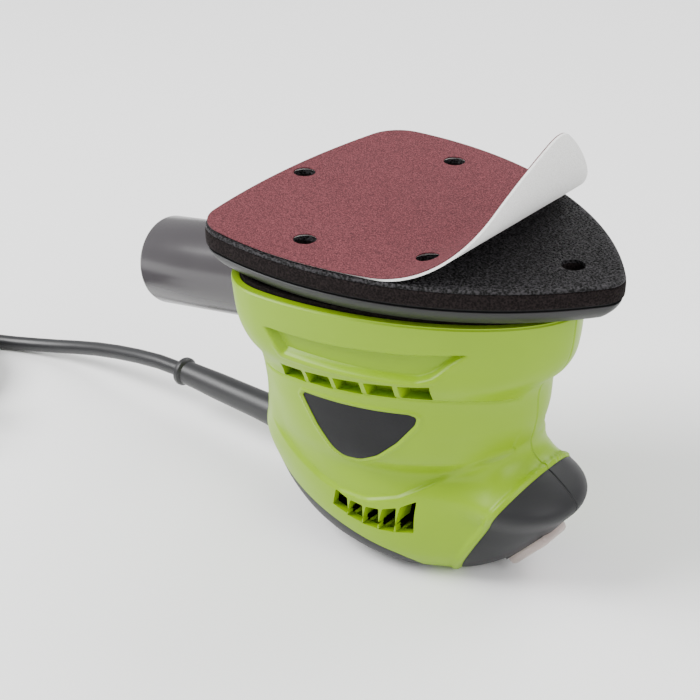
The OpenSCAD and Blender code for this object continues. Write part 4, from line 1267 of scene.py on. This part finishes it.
# ------------------------------------------------------------------ pad and sheet
@dataclass
class Pad:
    """Delta base plate, foam, hook pile and the half peeled sheet."""

    length: float = 140.0
    width: float = 116.0
    rear: float = 55.5
    nose_r: float = 9.0
    corner_r: float = 15.0
    side_mid: float = -20.0
    rear_r: float = 280.0
    plate_low: float = 111.5
    plate_top: float = 120.0
    taper: float = 7.0
    foam_top: float = 125.5
    hook_top: float = 126.8
    fleece: float = 0.8
    paper: float = 0.4
    hole_r: float = 4.0
    holes: Outline = ((-48, 0), (-12, -42), (-12, 42), (28.5, -28), (28.5, 28), (66, 0))
    posts: Outline = ((46, 17), (46, -17), (-36, 36), (-36, -36))
    orbit: float = 1.0
    sheet_inset: float = 0.8
    peel_x: float = 22.0
    peel_r: float = 32.0
    peel_angle: float = 73.0
    peel_cuts: int = 64
    peel_step: float = 0.97
    hook_pitch: float = 1.3
    hook_wire: float = 0.13
    hook_bend: float = 0.36
    hook_sink: float = 0.15
    hook_stray: float = 0.3
    hook_from: Point = (28.5, -52.0)
    hook_field: Point = (60.0, 104.0)

    def outline(self, inset: float) -> list[Point]:
        """The pad's rounded delta outline.

        Args:
            inset: how far the outline is moved inwards.

        Returns:
            Points in order round the pad.
        """
        half = self.width / 2
        nose = self.length - self.rear - self.nose_r
        side_r = ((nose - self.side_mid) ** 2 + half**2 - self.nose_r**2) / (2 * (half - self.nose_r))
        side_c = side_r - half
        rear_c = self.rear_r - self.rear
        # Corner centre, inside the side arc and the rear arc by the corner's radius
        a, b = Vector((self.side_mid, -side_c)), Vector((rear_c, 0))
        ra, rb = side_r - self.corner_r, self.rear_r - self.corner_r
        d = (b - a).length
        u = (b - a) / d
        k = (ra * ra - rb * rb + d * d) / (2 * d)
        h = math.sqrt(ra * ra - k * k)
        c = Vector((a.x + u.x * k - u.y * h, a.y + u.y * k + u.x * h))
        nose_a = math.atan2(side_c, nose - self.side_mid)
        side_a, rear_a = math.atan2(c.y + side_c, c.x - self.side_mid), math.atan2(c.y, c.x - rear_c)
        arcs = [(nose, 0, self.nose_r, 0, nose_a, 14), (self.side_mid, -side_c, side_r, nose_a, side_a, 60),
                (c.x, c.y, self.corner_r, side_a, rear_a, 20), (rear_c, 0, self.rear_r, rear_a, math.pi, 12)]
        stops = [(x, y, r - inset, s + (e - s) * i / n) for x, y, r, s, e, n in arcs for i in range(n)]
        points = [(x + r * math.cos(turn), y + r * math.sin(turn)) for x, y, r, turn in stops]
        return points + [(-self.rear + inset, 0.0)] + [(x, -y) for x, y in points[:0:-1]]

    def _stack(self, levels: Sequence[tuple[float, float]]) -> bmesh.types.BMesh:
        """Skins outlines at [height, inset] pairs."""
        return loft(np.array([[(x, y, z) for x, y in self.outline(inset)] for z, inset in levels]))

    def _hole_cutter(self, radius: float, low: float, high: float, limit: float = 999.0) -> bpy.types.Object:
        """Rods at the dust holes that lie behind limit.

        Args:
            radius: radius of the rods.
            low: their lower end.
            high: their upper end.
            limit: only holes behind this x are cut.

        Returns:
            The rods as one piece.
        """
        out = bmesh.new()
        for x, y in self.holes:
            if x < limit:
                join(out, rod(radius, low, high, placed((x, y, 0)), 48))
        return piece_from("hole_rods", out)

    def _plate(self) -> bpy.types.Object:
        """Makes the rigid plate with its rounded flank and pockets.

        Returns:
            The plate.
        """
        h, t = self.plate_top - self.plate_low, self.taper
        flank = [(0, 1.06), (0.02, 1.0), (0.1, 0.8), (0.22, 0.62), (0.34, 0.47), (0.45, 0.34), (0.56, 0.23),
                 (0.68, 0.14), (0.78, 0.08), (0.85, 0.05), (0.868, 0.07), (0.88, 0.17), (1.0, 0.17)]
        levels = [(self.plate_low + s * h, 0.4 + k * t) for s, k in flank]
        plate = piece_from("pad_plate", self._stack(levels))
        cuts = bmesh.new()
        middle = placed((self.orbit, 0, 0))
        join(cuts, rod(23.1, self.plate_low - 1, self.plate_low + 2.5, middle, 72))
        core = piece_from("core", rod(11.0, self.plate_low - 2, self.plate_low + 6.4, middle, 64))
        for x, y in self.posts:
            join(cuts, rod(6.0, self.plate_low - 1, self.plate_low + 2.5,
                           placed((x + self.orbit, y, 0)), 40))
        cut, holes = piece_from("cuts", cuts), self._hole_cutter(4.5, 100, 130)
        carve(plate, cut, core, holes)
        discard(cut, core, holes)
        return plate

    def _layer(self, name: str, levels: Sequence[tuple[float, float]]) -> bpy.types.Object:
        """Makes one soft layer of the pad with its dust holes.

        Args:
            name: name of the layer.
            levels: pairs of height and inset.

        Returns:
            The layer.
        """
        layer, holes = piece_from(name, self._stack(levels)), self._hole_cutter(self.hole_r, 100, 140)
        carve(layer, holes)
        discard(holes)
        return layer

    def _curl(self, bm: bmesh.types.BMesh) -> None:
        """Rolls what lies ahead of the peel line up and back.

        Args:
            bm: a ply that lies flat.
        """
        for k in range(self.peel_cuts):
            line = ((self.peel_x + k * self.peel_step) * MM, 0, 0)
            bmesh.ops.bisect_plane(bm, geom=list(bm.verts) + list(bm.edges) + list(bm.faces), dist=1e-7,
                                   plane_co=line, plane_no=(1, 0, 0))
        bmesh.ops.triangulate(bm, faces=[f for f in bm.faces if len(f.verts) > 4])
        for v in bm.verts:
            s, h = v.co.x / MM - self.peel_x, v.co.z / MM - self.hook_top
            if s <= 0:
                continue
            a = min(s / self.peel_r, math.radians(self.peel_angle))
            rest = max(s - self.peel_r * math.radians(self.peel_angle), 0)
            v.co.x = (self.peel_x + (self.peel_r - h) * math.sin(a) + rest * math.cos(a)) * MM
            v.co.z = (self.hook_top + self.peel_r - (self.peel_r - h) * math.cos(a) + rest * math.sin(a)) * MM

    def _sheet_part(self, name: str, low: float, high: float, inset: float,
                    hidden: float) -> bpy.types.Object:
        """Makes one ply of the sheet, holes cut while it lies flat, then curled.

        Args:
            name: name of the ply.
            low: height of its underside.
            high: height of its top.
            inset: how far its edge lies inside the pad's.
            hidden: 1 if its edge sinks in under the paper where the sheet is held.

        Returns:
            The new object.
        """
        held, free = np.array(self.outline(inset + 1.3 * hidden)), np.array(self.outline(inset))
        share = soft_step(free[:, :1], self.peel_x - 12, self.peel_x + 12)
        ply = piece_from(name, slab((held * (1 - share) + free * share).tolist(), low, high))
        holes = self._hole_cutter(self.hole_r + 0.9 * hidden, 100, 140, 40)
        carve(ply, holes)
        discard(holes)
        bm = bmesh.new()
        bm.from_mesh(ply.data)
        self._curl(bm)
        bm.to_mesh(ply.data)
        bm.free()
        return ply

    def _hooks(self) -> bpy.types.Object:
        """Repeats one small bent hook over the bare nose of the pile and trims the rows to the pad.

        Returns:
            The hooks in one piece.
        """
        bm = bmesh.new()
        bmesh.ops.create_circle(bm, cap_ends=True, segments=3, radius=self.hook_wire * MM)
        bmesh.ops.spin(bm, geom=list(bm.verts) + list(bm.edges) + list(bm.faces), axis=(0, -1, 0),
                       cent=(-self.hook_bend * MM, 0, 0), angle=math.radians(200), steps=4)
        bmesh.ops.triangulate(bm, faces=bm.faces)
        outward(bm)
        size = len(bm.verts)
        hook = piece_from("bare_hooks", bm)
        columns, rows = (int(size_mm / self.hook_pitch) for size_mm in self.hook_field)
        for count, step in ((columns, (self.hook_pitch, 0, 0)), (rows, (0, self.hook_pitch, 0))):
            line = hook.modifiers.new("rows", "ARRAY")
            line.count = count
            line.use_relative_offset = False
            line.use_constant_offset = True
            line.constant_offset_displace = [s * MM for s in step]
        carve(hook)
        mesh = hook.data
        co = np.empty(len(mesh.vertices) * 3)
        mesh.vertices.foreach_get("co", co)
        co = co.reshape(-1, size, 3)
        rng = np.random.default_rng(7)
        middle = co.mean(1)
        turn = rng.uniform(0, math.tau, len(co))
        c, s = np.cos(turn)[:, None], np.sin(turn)[:, None]
        dx, dy = co[:, :, 0] - middle[:, :1], co[:, :, 1] - middle[:, 1:2]
        shift = rng.uniform(-self.hook_stray, self.hook_stray, (len(co), 2)) * MM
        x0 = middle[:, 0] + self.hook_from[0] * MM + shift[:, 0]
        stagger = (np.arange(len(co)) % columns % 2) * self.hook_pitch / 2 * MM
        y0 = middle[:, 1] + self.hook_from[1] * MM + shift[:, 1] + stagger
        co[:, :, 0], co[:, :, 1] = x0[:, None] + c * dx - s * dy, y0[:, None] + s * dx + c * dy
        co[:, :, 2] += (self.hook_top - self.hook_sink) * MM
        mesh.vertices.foreach_set("co", co.reshape(-1))
        keep = outline_distance(x0 / MM, y0 / MM, self.outline(1.2)) < -0.4
        for hx, hy in self.holes:
            keep &= np.hypot(x0 / MM - hx, y0 / MM - hy) > self.hole_r + 0.6
        bm = bmesh.new()
        bm.from_mesh(mesh)
        drop = np.repeat(~keep, size)
        bmesh.ops.delete(bm, geom=[v for v, gone in zip(bm.verts, drop) if gone], context="VERTS")
        bm.to_mesh(mesh)
        bm.free()
        return hook

    def build(self) -> None:
        plate = finish(self._plate(), "plate_plastic")
        foam = finish(self._layer("pad_foam", [(self.plate_top, 0.5), (self.plate_top + 0.4, 0.12),
                                               (self.plate_top + 1.6, 0.0), (self.foam_top - 1.2, 0.0),
                                               (self.foam_top - 0.3, 0.1), (self.foam_top, 0.4)]), "foam", 60)
        pile = finish(self._layer("hook_pile", [(self.foam_top, 0.4), (self.foam_top + 0.3, 0.15),
                                                (self.hook_top - 0.4, 0.3), (self.hook_top - 0.05, 0.7)]),
                      "hooks", 60)
        hooks = finish(self._hooks(), "hooks", 80)
        split = self.hook_top + self.fleece
        edge_in = self.sheet_inset
        fleece = self._sheet_part("sheet_backing", self.hook_top, split, edge_in - 0.15, 1.0)
        paper = self._sheet_part("sheet_grit", split, split + self.paper, edge_in, 0.0)
        finish(fleece, "fleece", 50)
        finish(paper, "abrasive", 50)
        rows = ((plate, "base_plate", "pad", "plate_plastic"), (foam, "foam_cushion", "pad", "foam"),
                (pile, "hook_layer", "pad", "hooks"), (hooks, None, "pad", "hooks"),
                (fleece, "sheet_fleece", "sheet", "fleece"), (paper, "sheet_paper", "sheet", "abrasive"))
        for piece, node, body, slot in rows:
            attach(piece, body)
            if node:
                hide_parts(node)
            report(piece)


def dress_frame() -> None:
    """Gives every CAD node that still shows the finish of its slot."""
    slots = {part["node"]: part["material_slot"] for part in frame["record"]["subparts"]}
    for node, piece in frame["nodes"].items():
        finish(piece, slots[node], None)


def main() -> None:
    """Builds the sander, from the camera and the cord to the sheet."""
    logging.basicConfig(level=logging.INFO, format="%(name)s: %(message)s")
    studio = Studio()
    studio.camera()
    MainsCord().build()
    dress_frame()
    Housing().build()
    DustTube().build()
    Switch().build()
    Pad().build()
    studio.floor()
    studio.lights()
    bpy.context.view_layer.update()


if __name__ == "__main__":
    main()
